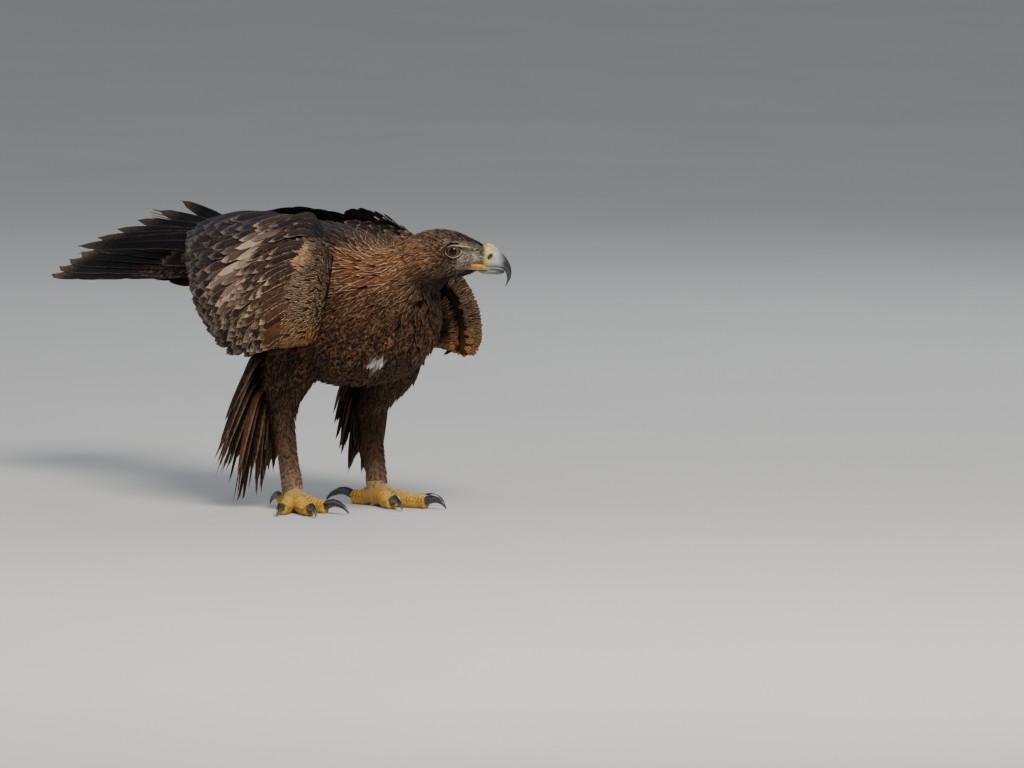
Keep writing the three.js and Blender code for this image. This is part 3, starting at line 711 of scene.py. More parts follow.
def eye_finish():
    """The eye seen through its wet surface: pupil, streaked amber iris and a dark ring round it."""
    f = Finish("Eye_wet", coat_weight=0.25, coat_roughness=0.04, roughness=0.2, specular_ior_level=0.08)
    out = f.split(f.map("Polar"))[1]
    rays = f.noise(1.0, f.map("Polar"), detail=5.0, stretch=(60.0, 5.0, 1.0), rough=0.7)
    iris = f.blend(f.ramp(rays, 0.3, 0.7), (0.19, 0.075, 0.014), (0.045, 0.018, 0.006))
    inner = f.ramp(out, 0.46, 0.58, 1.0, 0.0)
    iris = f.blend(f.calc("MULTIPLY", inner, 0.4), iris, (0.26, 0.12, 0.03))
    ring = f.ramp(out, 0.60, 0.74)
    colour = f.blend(ring, iris, (0.014, 0.009, 0.006))
    pupil = f.ramp(out, 0.44, 0.47, 1.0, 0.0)
    colour = f.blend(pupil, colour, (0.0015, 0.0015, 0.002))
    return f.done(colour, 0.2, f.bump(rays, 0.00008, 0.4))


def claw_finish():
    f = Finish("Claw_horn", coat_weight=0.5, coat_roughness=0.18, specular_ior_level=0.55)
    grain = f.noise(300.0, detail=5.0)
    colour = f.blend(f.ramp(grain, 0.4, 0.75), (0.012, 0.013, 0.017), (0.055, 0.055, 0.06))
    return f.done(colour, f.ramp(grain, 0.3, 0.7, 0.28, 0.48), f.bump(grain, 0.0002, 0.6))


SOFT_FEATHER = feather_finish("Body_feather", 70.0, 7.0, 0.42, 0.00025)
FLIGHT_FEATHER = feather_finish(
    "Flight_feather", 1500.0, 70.0, 0.12, 0.00012, mottles=(0.30, 0.22, 0.16), root=0.55, shine=0.04
)
WING_COVERT = feather_finish("Wing_covert", 150.0, 10.0, 0.17, 0.00028, root=0.65)
UNDER_DOWN = skin_finish()
HORN = bill_finish("Bill_horn", 0.34, 0.35)
CERE_SKIN = bill_finish("Cere_skin", 0.5, 0.1)
TOE_SKIN = toe_finish()
CLAW_HORN = claw_finish()
EYE_WET = eye_finish()


# ---- plumage from place to place
# Each row: place, colour, (pale rim, mottle, gloss), (length, width, gap, lift, pointedness, and the way it
# lies: outwards, backwards, downwards). On the body a place is (from the midline, ahead, up).
BODY_PLUMAGE = Plumage([
    ((0, 128, 312), "744a2b", (1.2, 0.1, 0.05), (30, 6, 4.5, 3.4, 1, 0, 1, 0.35)),
    ((22, 118, 300), "80522d", (1.3, 0.1, 0.05), (31, 6, 4.5, 3.8, 1, 0.1, 0.95, 0.45)),
    ((40, 112, 262), "6b4022", (1.1, 0.15, 0.05), (31, 6.5, 4.8, 4.2, 1, 0.1, 0.8, 0.6)),
    ((48, 84, 268), "5d3a20", (1.1, 0.15, 0.05), (32, 7.5, 5.2, 4.4, 0.9, 0.1, 0.85, 0.45)),
    ((0, 84, 300), "3f2a1d", (0.5, 0.1, 0.05), (30, 9.5, 6, 4.4, 0.8, 0, 1, 0.15)),
    ((30, 70, 296), "241c1a", (0.15, 0.1, 0.1), (30, 12, 6.6, 4.2, 0.6, 0, 1, 0.2)),
    ((0, 140, 244), "1c120d", (0.2, 0.25, 0.05), (22, 7, 4.8, 4, 0.8, 0, 0.6, 0.8)),
    ((30, 138, 232), "2b1a10", (0.4, 0.5, 0.05), (27, 7.5, 5, 3.6, 0.95, 0.1, 0.7, 0.7)),
    ((55, 112, 232), "3d2413", (0.6, 0.6, 0.05), (30, 8.5, 5.6, 3.8, 0.95, 0.1, 0.8, 0.6)),
    ((25, 136, 200), "24160f", (0.25, 0.8, 0.05), (30, 9, 5.8, 4, 0.9, 0.1, 0.7, 0.75)),
    ((50, 110, 190), "281810", (0.3, 0.85, 0.05), (32, 10, 6.2, 4.2, 0.9, 0.1, 0.75, 0.65)),
    ((20, 112, 158), "1d120c", (0.2, 0.5, 0.05), (32, 12, 6.8, 5.4, 0.7, 0, 0.85, 0.5)),
    ((60, 70, 165), "1c110b", (0.2, 0.45, 0.05), (34, 13, 7.2, 5.4, 0.7, 0.1, 0.85, 0.5)),
    ((0, 40, 138), "130c08", (0.15, 0.2, 0.05), (36, 14, 7.6, 5.6, 0.7, 0, 1, 0.2)),
    ((45, -40, 160), "170e0a", (0.15, 0.2, 0.05), (36, 15, 8, 5, 0.6, 0.1, 1, 0.2)),
    ((80, 30, 210), "1d130d", (0.25, 0.3, 0.1), (34, 15, 8, 4.6, 0.5, 0.1, 0.9, 0.4)),
    ((72, 86, 262), "3d2b1e", (0.3, 0.15, 0.1), (27, 16, 7, 3.6, 0.15, 0.2, 1, 0.35)),
    ((60, 66, 288), "2a201b", (0.15, 0.1, 0.15), (30, 17, 7.6, 3.6, 0.2, 0.1, 1, 0.25)),
    ((30, 40, 302), "15161c", (0.05, 0.1, 0.15), (36, 19, 9, 4.2, 0.25, 0, 1, 0.05)),
    ((0, 0, 306), "14161c", (0.05, 0.1, 0.2), (42, 22, 10.5, 4.6, 0.2, 0, 1, 0)),
    ((30, -80, 300), "14161d", (0.05, 0.1, 0.3), (46, 24, 12, 4.8, 0.2, 0, 1, 0)),
    ((0, -150, 286), "2a2421", (0.5, 0.2, 0.3), (42, 22, 11, 4.6, 0.3, 0, 1, 0.1)),
    ((20, -185, 262), "33241b", (0.5, 0.3, 0.2), (38, 18, 10, 4.2, 0.4, 0, 1, 0)),
    ((0, -140, 226), "3d2518", (0.4, 0.4, 0.05), (42, 15, 8.5, 6, 0.8, 0, 1, 0.05)),
    ((84, 20, 165), "1e130d", (0.3, 0.3, 0.05), (38, 12, 7, 4.6, 0.8, 0, 0.5, 1)),
    ((80, -5, 135), "2b1b13", (0.4, 0.3, 0.05), (32, 10, 6, 4, 0.85, 0, 0.4, 1)),
    ((40, 5, 140), "180f0a", (0.2, 0.2, 0.05), (32, 10, 6.4, 4, 0.8, 0, 0.35, 1)),
    ((60, 14, 118), "44301f", (0.5, 0.3, 0.05), (20, 7, 4.8, 3, 0.7, 0, 0.25, 1)),
    ((58, -12, 96), "523c2c", (0.5, 0.3, 0.05), (13, 4.4, 3.1, 2, 0.8, 0, 0.15, 1)),
    ((57, -4, 64), "735644", (0.55, 0.2, 0.05), (10, 3.6, 2.5, 1.6, 0.8, 0, 0.08, 1)),
    ((55, 2, 34), "a88a72", (0.6, 0.1, 0.05), (9, 3.2, 2.2, 1.5, 0.8, 0, 0, 1)),
])
# On the head a place is (along the bill, from the middle, up), all from the middle between the eyes.
HEAD_PLUMAGE = Plumage([
    ((30, 5, 8), "1b1412", (0.1, 0, 0.05), (5, 1.9, 1.6, 0.8, 0.7, 0.1, 1, 0)),
    ((18, 6, 17), "211713", (0.4, 0, 0.05), (8.5, 2.1, 2, 1.1, 0.9, 0.1, 1, 0)),
    ((2, 8, 22), "3c2a1f", (0.9, 0, 0.05), (12, 2.6, 2.4, 1.5, 1, 0.05, 1, 0)),
    ((-22, 10, 23), "523724", (1, 0, 0.05), (16, 3.2, 2.8, 2, 1, 0, 1, 0.1)),
    ((-44, 10, 12), "6d4427", (1.1, 0, 0.05), (22, 4.2, 3.4, 2.6, 1, 0, 1, 0.3)),
    ((10, 26, 7.5), "b09a86", (0.5, 0, 0.05), (4, 1.6, 1.4, 0.6, 0.7, 0, 1, 0.05)),
    ((-3, 29, 8.5), "a38b76", (0.5, 0, 0.05), (4.5, 1.8, 1.5, 0.7, 0.7, 0, 1, 0.05)),
    ((6, 22, 14), "33241b", (0.6, 0, 0.05), (8, 2.2, 2, 1.1, 0.9, 0, 1, 0)),
    ((-10, 28, 14), "4a3223", (0.8, 0, 0.05), (11, 2.6, 2.3, 1.5, 1, 0, 1, 0.1)),
    ((27, 12, 2), "7d7368", (0.3, 0, 0.05), (5, 1, 1.3, 1.8, 1, 0.2, -0.6, -0.2)),
    ((24, 17, -6), "d8cfbf", (0.3, 0, 0.05), (5.5, 1, 1.3, 2, 1, 0.3, -0.8, 0.2)),
    ((13, 22, -3), "c9bcaa", (0.3, 0, 0.05), (4.5, 1.2, 1.4, 0.7, 1, 0.2, 0.8, 0.3)),
    ((27, 15, -14), "d8b95c", (0.2, 0, 0.05), (4, 1, 1.3, 1.2, 1, 0.2, -0.8, 0.2)),
    ((12, 23, -13), "ab9c8a", (0.4, 0, 0.05), (5.5, 1.4, 1.6, 0.9, 1, 0.2, 0.9, 0.3)),
    ((0, 28, -12), "4d382b", (0.5, 0, 0.05), (8.5, 2.2, 2, 1.1, 0.9, 0.1, 1, 0.4)),
    ((-9, 30, 0), "4c3325", (0.7, 0, 0.05), (10, 2.4, 2.2, 1.3, 1, 0.1, 1, 0.15)),
    ((-10, 31, -16), "4a3021", (0.6, 0.1, 0.05), (13, 2.9, 2.5, 1.6, 1, 0.1, 1, 0.4)),
    ((-26, 34, -6), "643f28", (0.9, 0.1, 0.05), (16, 3.4, 2.9, 2, 1, 0.1, 1, 0.35)),
    ((-44, 28, -6), "774a2a", (1.1, 0.1, 0.05), (22, 4.4, 3.5, 2.7, 1, 0, 1, 0.45)),
    ((22, 8, -24), "2b211c", (0.1, 0, 0.05), (7, 2, 1.9, 1.2, 0.8, 0, 1, 0.2)),
    ((0, 14, -30), "17110e", (0.1, 0.1, 0.05), (13, 3.2, 2.7, 1.7, 0.9, 0, 1, 0.3)),
    ((-20, 22, -32), "24180f", (0.3, 0.2, 0.05), (17, 4.2, 3.3, 2.3, 1, 0, 1, 0.6)),
    ((-36, 26, -26), "4c2f1c", (0.7, 0.2, 0.05), (20, 4.8, 3.7, 2.8, 1, 0, 1, 0.6)),
])
# On a wing a place is (180 x its share of the way round, 300 x its share of the way back, 0).
WING_ROUND, WING_BACK = 180, 300
WING_PLUMAGE = Plumage([
    ((10, 5, 0), "2c2420", (0.6, 0.1, 0.1), (14, 5, 3.6, 2.4, 0.7, 0, 1, 0.25)),
    ((50, 6, 0), "3d2d22", (0.8, 0.1, 0.1), (13, 4.4, 3.3, 2.4, 0.8, 0, 1, 0.3)),
    ((34, 44, 0), "b28a62", (1, 0.1, 0.05), (15, 2.6, 2.6, 3.6, 1, 0, 1, 0)),
    ((12, 55, 0), "1f1f26", (0.3, 0.1, 0.6), (26, 14, 7, 3, 0.3, 0, 1, 0.2)),
    ((75, 30, 0), "54402f", (1.2, 0.2, 0.05), (13, 3.6, 3.1, 2.8, 1, 0, 1, 0.2)),
    ((105, 12, 0), "4f3c2d", (1.3, 0.2, 0.05), (12, 3.6, 3, 2.6, 0.9, 0, 1, 0.2)),
    ((140, 12, 0), "664528", (1.2, 0.2, 0.05), (11, 3.8, 3.1, 2.4, 0.9, 0, 1, 0.25)),
    ((165, 12, 0), "83552c", (0.9, 0.2, 0.05), (11, 4, 3.2, 2.2, 0.8, 0, 1, 0.2)),
    ((60, 66, 0), "2c2320", (0.9, 0.2, 0.2), (16, 6.5, 4.2, 3, 0.5, 0, 0.8, 0.7)),
    ((100, 60, 0), "3a2a1f", (0.9, 0.3, 0.1), (16, 6.5, 4.2, 3, 0.5, 0, 0.75, 0.7)),
    ((140, 55, 0), "4a301c", (0.8, 0.3, 0.1), (15, 6.5, 4.2, 2.8, 0.5, 0, 0.8, 0.6)),
    ((30, 94, 0), "241f20", (0.7, 0.2, 0.4), (30, 18, 8, 3, 0.3, 0, 0.9, 0.4)),
    ((10, 104, 0), "221f22", (0.4, 0.2, 0.5), (30, 18, 8, 3, 0.3, 0, 0.9, 0.4)),
    ((14, 140, 0), "43372f", (0.8, 0.2, 0.2), (34, 18, 8, 3, 0.3, 0, 1, 0.2)),
    ((46, 144, 0), "ad9782", (0.8, 0.1, 0.1), (34, 18, 8, 3, 0.3, 0, 0.9, 0.5)),
    ((76, 146, 0), "ab947f", (0.9, 0.1, 0.1), (34, 18, 8, 3, 0.3, 0, 0.8, 0.6)),
    ((104, 122, 0), "8c7765", (0.9, 0.2, 0.1), (30, 14, 7, 3, 0.3, 0, 0.75, 0.7)),
    ((64, 104, 0), "33271f", (0.9, 0.3, 0.15), (28, 14, 6.5, 3, 0.3, 0, 0.75, 0.7)),
    ((92, 88, 0), "33251c", (1, 0.3, 0.15), (28, 14, 6.5, 3, 0.3, 0, 0.75, 0.7)),
    ((130, 105, 0), "35261b", (1, 0.3, 0.15), (28, 14, 6.5, 3, 0.3, 0, 0.75, 0.7)),
    ((155, 90, 0), "281c16", (0.9, 0.2, 0.3), (26, 13, 6.5, 3, 0.3, 0, 0.8, 0.5)),
    ((175, 110, 0), "17120f", (0.5, 0.1, 0.5), (30, 15, 7, 3, 0.3, 0, 0.9, 0.3)),
    # Rows (20, 172), (30, 280) and (90, 280) hold the feathers' own dark slate, lightened as painted light
    # for the wing's inner face, which lies in shade; the blue of (70, 226) is a painted sheen.
    ((20, 172, 0), "262531", (0.35, 0.1, 0.7), (40, 22, 10, 3, 0.2, 0, 1, 0.3)),
    ((60, 182, 0), "33292a", (0.5, 0.2, 0.4), (40, 22, 10, 3, 0.2, 0, 0.9, 0.5)),
    ((70, 226, 0), "1f1e26", (0.35, 0.2, 0.6), (40, 22, 10, 3, 0.2, 0, 0.9, 0.5)),
    ((118, 168, 0), "2a2121", (0.6, 0.2, 0.4), (40, 20, 10, 3, 0.2, 0, 0.9, 0.5)),
    ((30, 280, 0), "222734", (0.2, 0, 1), (40, 22, 10, 3, 0.2, 0, 1, 0.3)),
    ((90, 280, 0), "1e232e", (0.2, 0, 1), (40, 22, 10, 3, 0.2, 0, 1, 0.3)),
    ((150, 250, 0), "101115", (0.3, 0, 0.9), (40, 22, 10, 3, 0.2, 0, 1, 0.3)),
    ((165, 175, 0), "141113", (0.4, 0, 0.7), (40, 22, 10, 3, 0.2, 0, 1, 0.3)),
])


def straightened(points):
    """Points in the body's own measures, as if the neck went straight ahead: midline distance, ahead, up."""
    ahead, up = -points[:, 1], points[:, 2]
    bend = np.interp(ahead, [48, 84, 114, 140, 160, 200], [0, 5, 14, 26, 38, 60]) * ease(200, 245, up)
    return points[:, 0] - bend, ahead, up, bend


def headness(points):
    """1 on the head, 0 on the body, soft between them."""
    h = from_head(points)
    return ease(-60, -38, h[:, 0]) * ease(-56, -36, h[:, 2])


WHITE_PATCH = place(-27, 130, 168)
WHITE_DOWN = np.array([0.62, 0.58, 0.52])


def body_look(points):
    """The coat's look at places on the body and head: darker below, with the lower body's tint dimmed as
    painted shade, and a patch of white on the breast.
    """
    left, ahead, up, bend = straightened(points)
    body = BODY_PLUMAGE.at(np.stack([np.abs(left), ahead, up], -1), 4.0)
    h = from_head(points)
    head = HEAD_PLUMAGE.at(np.stack([h[:, 0], np.abs(h[:, 1]), h[:, 2]], -1), 6.0)
    on = headness(points)[:, None]
    flow_body = np.stack([np.sign(left) * body[:, 11] - 0.012 * bend, body[:, 12], -body[:, 13]], -1)
    flow_head = -head[:, 12:13] * FORE + np.sign(h[:, 1:2]) * head[:, 11:12] * SIDE - head[:, 13:14] * UP
    values = mixed(body, head, on)
    values[:, 11:14] = mixed(flow_body, flow_head, on)
    look = fields(values)
    # painted shade: the body's tint dims towards the belly, away from the light above
    dark = mixed(0.62, 1.0, ease(228, 272, up + 0.15 * (ahead - 100)))
    look["tint"] = look["tint"] * mixed(dark, 1.0, on[:, 0])[:, None]
    look["marks"][:, 0] *= mixed(mixed(0.5, 1.0, ease(222, 262, up)), 1.0, on[:, 0])
    away = np.linalg.norm((points - WHITE_PATCH) * [1, 1, 0.7], axis=1)
    white = ease(13, 6, away) * (draw.random(len(points)) < 0.8)
    look["tint"] = mixed(look["tint"], WHITE_DOWN, white[:, None])
    look["marks"] = look["marks"] * (1 - 0.8 * white[:, None])
    for key, share in (("long", 0.6), ("wide", 0.55), ("gap", 0.6)):
        look[key] = np.where(away < 20, share * look[key], look[key])
    return look


# ---- the skin of body, neck, head and legs
def leg_rows(way):
    knee = 14 if way > 0 else 0
    return [
        [way * 50, 26 + knee, 205, 38, 42, 42],
        [way * 60, 6 + knee, 160, 32, 34, 38],
        [way * 61, -9 + 0.6 * knee, 130, 24, 25, 29],
        [way * 58, -15 + 0.3 * knee, HEEL, 17.5, 18, 19],
        [way * 57, -11, 84, 13.6, 13.6, 14],
        [way * 56, -5, 56, 12.4, 12.4, 12.8],
        [way * STANCE, 0, 34, 13, 13, 13.4],
        [way * STANCE, 2, 14, 12.5, 12.5, 13],
    ]


def oval_ball(centre, axes, sides=20, rings=12):
    """A closed ball with the given half axes, as rings from pole to pole."""
    theta = np.linspace(0.02, np.pi - 0.02, rings)
    turn = 2 * np.pi * np.arange(sides) / sides
    a, b, c = axes
    ring = np.sin(theta)[:, None, None] * (
        np.cos(turn)[None, :, None] * b + np.sin(turn)[None, :, None] * c
    )
    return skin_rings(centre + np.cos(theta)[:, None, None] * a + ring)


def make_body_skin():
    """One skin under the coat, a little inside the solids, with brows, chin and hollows for the eyes."""
    shells = [
        skin_rings(loft_rings(TORSO, 60, 56, -5.0)),
        skin_rings(loft_rings(NECK, 30, 48, -4.5)),
        skin_rings(loft_rings(head_rows(SKULL), 40, 48, -2.2)),
    ]
    for way in (1, -1):
        shells.append(skin_rings(loft_rings(leg_rows(way), 50, 32, -2.6, top=AHEAD)))
        brow = on_head(4, way * 23.4, 8.2)
        shells.append(oval_ball(brow, (FORE * 15 - SIDE * way * 3.5 - UP * 1.5, SIDE * 4.2, UP * 3.0)))
    chin = on_head(7, 0, -23)
    shells.append(oval_ball(chin, (FORE * 18 + UP * 4, SIDE * 10, UP * 5.5)))
    points, faces = flesh_out("flesh", shells, 2.1, 5)
    h = from_head(points)
    radius = np.hypot(h[:, 0] - EYE_FORE, h[:, 2] - EYE_UP)
    socket = (np.abs(h[:, 1]) > 12) & (radius < 10.5)
    deep = np.where(socket, ease(10.5, 8.0, radius), 0)
    inward = np.maximum(np.abs(h[:, 1]) - 19.0, 0) * deep
    points = points - SIDE * (np.sign(h[:, 1]) * inward)[:, None]
    points[:, 2] = np.maximum(points[:, 2], 12)
    return points, faces


body_points, body_faces = make_body_skin()
body = Ground(body_points, body_faces)
body_tints = body_look(body_points)["tint"] * 0.5
show(
    "skin",
    make_mesh("skin", body_points, body_faces, colours={"tint": body_tints}),
    UNDER_DOWN,
    "plumage_brown",
    *("torso", "neck", "head", "thigh_left", "thigh_right", "tarsus_left", "tarsus_right"),
)


# ---- the coat of the body
def unwrap_body(points):
    """A place on the coat's map from where a feather is rooted: round the body and along it."""
    left, ahead, up, _ = straightened(points)
    turn = np.arctan2(left, up - 215) / (2 * np.pi) + 0.5
    return np.stack([0.02 + 0.96 * turn, 0.02 + 0.96 * (ahead + 200) / 420], -1)


def unwrap_leg(points, way):
    turn = np.arctan2(points[:, 0] - way * 57, -points[:, 1]) / (2 * np.pi) + 0.5
    return np.stack([0.02 + 0.96 * turn, 0.02 + 0.96 * points[:, 2] / 240], -1)


def unwrap_head(points):
    h = from_head(points)
    turn = np.arctan2(h[:, 1], h[:, 2] + 6) / (2 * np.pi) + 0.5
    return np.stack([0.02 + 0.96 * turn, 0.02 + 0.96 * (h[:, 0] + 75) / 115], -1)


def bare(points):
    """Where no feather grows: the eyes, the bill and gape, inside the tail's root and below the ankle."""
    h = from_head(points)
    eye = np.hypot((h[:, 0] - EYE_FORE) / 1.12, h[:, 2] - EYE_UP) < 8.6
    eye &= (np.abs(h[:, 1]) > 10) & (h[:, 2] < 6.2)
    bill = (h[:, 0] > 31) & (np.abs(h[:, 1]) < 30) & (h[:, 2] > -40)
    lips = (np.abs(h[:, 2] - MOUTH) < 1.6) & (h[:, 0] > 2) & (np.abs(h[:, 1]) > 6)
    return eye | bill | lips | (points[:, 1] > 190) | (
        points[:, 2] < 23 + 3.5 * np.sin(points[:, 0] * 0.9 + points[:, 1] * 0.7)
    )


def make_body_coats():
    """Small feathers over the head, breast, back and legs, spaced by the places' own gaps."""
    spots, normals, _ = body.scatter(90000)
    kept = ~bare(spots)
    spots, normals = spots[kept], normals[kept]
    look = body_look(spots)
    kept = thin_out(spots, look["gap"])
    spots, normals = spots[kept], normals[kept]
    look = {key: value[kept] for key, value in look.items()}
    on = headness(spots) > 0.5
    leg = (spots[:, 2] < 150) & ~on & (np.hypot(np.abs(spots[:, 0]) - 58, (spots[:, 1] - 5) * 0.8) < 44)
    low = spots[:, 2] < 232 + 0.25 * (-spots[:, 1])
    parts = {
        "coat_head": on,
        "coat_breast": ~on & ~leg & low,
        "coat_back": ~on & ~leg & ~low,
        "coat_leg_left": leg & (spots[:, 0] > 0),
        "coat_leg_right": leg & (spots[:, 0] < 0),
    }
    for name, chosen in parts.items():
        here = spots[chosen]
        if name == "coat_head":
            corner = unwrap_head(here)
        elif name.startswith("coat_leg"):
            corner = unwrap_leg(here, 1 if name.endswith("left") else -1)
        else:
            corner = unwrap_body(here)
        bundle = Bundle()
        part_look = {key: value[chosen] for key, value in look.items()}
        bundle.add(*small_feathers(body, here, normals[chosen], part_look, corner))
        show(name, bundle.mesh(name), SOFT_FEATHER, "plumage_gold" if on[chosen].any() else "plumage_brown")


make_body_coats()


# ---- wings
def wing_rows(way, t):
    """The wing's top, flank and lower edge at shares of the way back."""
    shift = np.where(way > 0, (1 - np.clip(t, 0, 1)) ** 2, 0.0)[..., None]
    out = []
    for i, rows in enumerate((WING_TOP, WING_FLANK, WING_LOW)):
        r = between(rows, t) + 0.5 * i * shift * np.array(LEFT_REACH)
        out.append(place(way * r[..., 0], r[..., 1], r[..., 2]))
    return out


def wing_point(way, s, t):
    """A place on the wing's surface, s of the way round from its top and t of the way back."""
    s, t = np.broadcast_arrays(np.asarray(s, float), np.asarray(t, float))
    a, b, c = wing_rows(way, t)
    s = s[..., None]
    return a * (2 * s - 1) * (s - 1) + b * 4 * s * (1 - s) + c * s * (2 * s - 1)


def wing_ways(way, s, t):
    """The wing's surface steps down round it and back along it, for a whole share of each."""
    step = 0.01
    down = (wing_point(way, s + step, t) - wing_point(way, s - step, t)) / (2 * step)
    t0, t1 = np.clip(t - step, 0, 1), np.clip(t + step, 0, 1)
    back = (wing_point(way, s, t1) - wing_point(way, s, t0)) / (t1 - t0)[..., None]
    return down, back


def wing_normal(way, s, t):
    down, back = wing_ways(way, s, t)
    return unit(np.cross(down, back) * way)


def under_wing(way, s, t, depth):
    """A place at a depth under the wing's surface."""
    depth = np.asarray(depth, float)[..., None]
    return wing_point(way, s, t) - wing_normal(way, s, t) * depth


def arm_skin(way):
    """The arm under its feathers: points and faces of a closed shell, and each point's [s, t, outer]."""
    rows, columns = 44, 26
    t = np.linspace(0, 1, rows) ** 1.3 * ARM[-1][0]
    stations = np.array(ARM)
    sink = np.interp(t, stations[:, 0], stations[:, 1])
    full = np.interp(t, stations[:, 0], stations[:, 2])
    s = mixed(0.02, 0.98, np.linspace(0, 1, columns))
    tt, ss = np.meshgrid(t, s, indexing="ij")
    brim = np.minimum(1, (1 - np.abs(2 * ss - 1)) / 0.3)
    half = 0.5 * full[:, None] * (0.25 + 0.75 * np.sqrt(1 - (1 - brim) ** 2))
    wrist = np.interp(t, [0, 0.016, 0.03], [ARM_DEPTH, ARM_DEPTH, 0])
    centre = np.maximum(sink + full / 2, wrist)
    middle = FALL * (ss - 0.5) + centre[:, None]
    outer = under_wing(way, ss, tt, middle - half + 1.5)
    inner = under_wing(way, ss, tt, middle + half - 1.5)
    points = np.concatenate([outer.reshape(-1, 3), inner.reshape(-1, 3)])
    marks = np.stack([ss, tt, np.ones_like(ss)], -1).reshape(-1, 3)
    marks = np.concatenate([marks, marks * [1, 1, 0]])
    shift = rows * columns
    index = np.arange(shift).reshape(rows, columns)
    a, b = index[:-1, :-1].ravel(), index[:-1, 1:].ravel()
    c, d = index[1:, 1:].ravel(), index[1:, :-1].ravel()
    both = np.stack([np.stack([a, d, c, b], -1), np.stack([a, b, c, d], -1) + shift], 1)
    rim = np.concatenate([index[:, 0], index[-1, 1:], index[-2::-1, -1], index[0, -2:0:-1]])
    after = np.roll(rim, -1)
    faces = np.concatenate([both.reshape(-1, 4), np.stack([rim, rim + shift, after + shift, after], -1)])
    if way > 0:
        faces = faces[:, ::-1]
    return points, faces.tolist(), marks


def wing_look(way, s, t, power=4.0):
    """The coat's look at shares round a wing and back along it."""
    values = WING_PLUMAGE.at(np.stack([WING_ROUND * s, WING_BACK * t, 0 * s], -1), power)
    down, back = wing_ways(way, s, np.clip(t, 0.012, 0.988))
    flow = unit(back) * values[:, 12:13] + unit(down) * values[:, 13:14]
    look = fields(values)
    look["flow"] = unit(flow)
    return look


# How a wing feather lies: the share of its width ahead of the shaft, and how far its root sinks, its vane
# tilts and bows, and its shaft stands up
WING_LEAD = 0.42
ROOT_SUNK = 5.0
WING_TILT = 0.14
WING_BOW = 0.10
SHAFT_HIGH = 0.5


def wing_vanes(way, root, tip, width, depth, rows, columns, shape, lift, sweep):
    """Feathers on the wing's surface from roots [s, t] to tips [s, t]: returns a grid of points for each."""
    v = np.linspace(0, 1, rows)
    x = np.linspace(-1, 1, columns)
    line = root[:, None] + (tip - root)[:, None] * v[None, :, None]
    line[..., 0] += sweep * (v * (1 - v))[None]
    s, t = line[..., 0], line[..., 1]
    down, back = wing_ways(way, s, np.clip(t, 0.012, 0.988))
    heading = down * np.gradient(s, axis=1)[..., None] + back * np.gradient(t, axis=1)[..., None]
    normal = unit(np.cross(down, back) * way)
    across = unit(np.cross(normal, heading)) * -way
    dd, db, bb = (down * down).sum(-1), (down * back).sum(-1), (back * back).sum(-1)
    pd, pb = (across * down).sum(-1), (across * back).sum(-1)
    area = dd * bb - db * db
    ds, dt = (pd * bb - pb * db) / area, (pb * dd - pd * db) / area
    share = smooth_shape(v, shape)
    half = np.where(x > 0, 1 - WING_LEAD, WING_LEAD) * x
    wide = np.asarray(width, float).reshape(-1, 1, 1)
    off = wide * share[None, :, None] * half[None, None]
    s2 = s[..., None] + off * ds[..., None]
    t2 = np.clip(t[..., None] + off * dt[..., None], 0.0, 1.0)
    over = t[..., None] + off * dt[..., None] - t2
    deep = np.asarray(depth, float).reshape(-1, 1, 1) + ROOT_SUNK * (1 - v[None, :, None]) ** 3
    deep = deep + WING_TILT * off + WING_BOW * wide * (x**2)[None, None] * 0.5
    deep = deep - SHAFT_HIGH * np.exp(-((x / 0.12) ** 2))[None, None]
    deep = deep - lift * (v[None, :, None] ** 2)
    points = wing_point(way, s2, t2) - wing_normal(way, s2, t2) * deep[..., None]
    return points + unit(heading)[:, :, None] * (over * WING_BACK)[..., None]


FLIGHT_SHAPE = [(0, 0.3), (0.25, 0.8), (0.6, 1), (0.86, 0.86), (0.95, 0.6), (1, 0.12)]
COVERT_SHAPE = [(0, 0.35), (0.3, 0.85), (0.6, 1), (0.84, 0.88), (0.95, 0.58), (1, 0.1)]


def smooth_shape(v, shape):
    """Share of a large feather's width along it, with a rounded end."""
    at = np.array([p[0] for p in shape])
    share = np.array([p[1] for p in shape])
    fine = np.interp(v, at, share)
    round_end = np.sqrt(np.clip(1 - np.clip((v - 0.7) / 0.3, 0, 1) ** 2.4, 0, 1))
    return np.where(v > 0.7, share.max() * (0.96 * round_end + 0.04), fine)


# Rows of wing feathers from the deepest to the outermost. Each says how many, how long, where the tips end
# at the top and at the lower edge, how much lower each ends than it starts, width, depth and the tips' lift.
# Lengths and places back along the wing are shares of it.
WING_TIERS = [
    (14, 0.54, (1.0, 0.91), 0.18, 32, 10.5, 0),
    (16, 0.40, (0.93, 0.80), 0.26, 20, 8.4, 1.2),
    (18, 0.34, (0.85, 0.71), 0.30, 17, 6.8, 1.5),
    (19, 0.31, (0.77, 0.63), 0.32, 15.5, 5.4, 1.6),
    (20, 0.28, (0.69, 0.56), 0.32, 14.5, 4.2, 1.7),
    (21, 0.26, (0.61, 0.49), 0.32, 13.5, 3.2, 1.8),
    (22, 0.24, (0.54, 0.43), 0.30, 12.5, 2.4, 1.8),
    (23, 0.22, (0.47, 0.38), 0.28, 12, 1.7, 1.8),
    (23, 0.20, (0.41, 0.33), 0.26, 11, 1.1, 1.8),
    (24, 0.19, (0.35, 0.285), 0.23, 10, 0.6, 1.8),
    (24, 0.18, (0.29, 0.24), 0.2, 9.5, 0.2, 1.8),
]
PRIMARY_BACK = [0, 20, 42, 66, 92, 120]
TIP_RIGHT, TIP_LEFT = [54, -408, 257], [52, -424, 291]


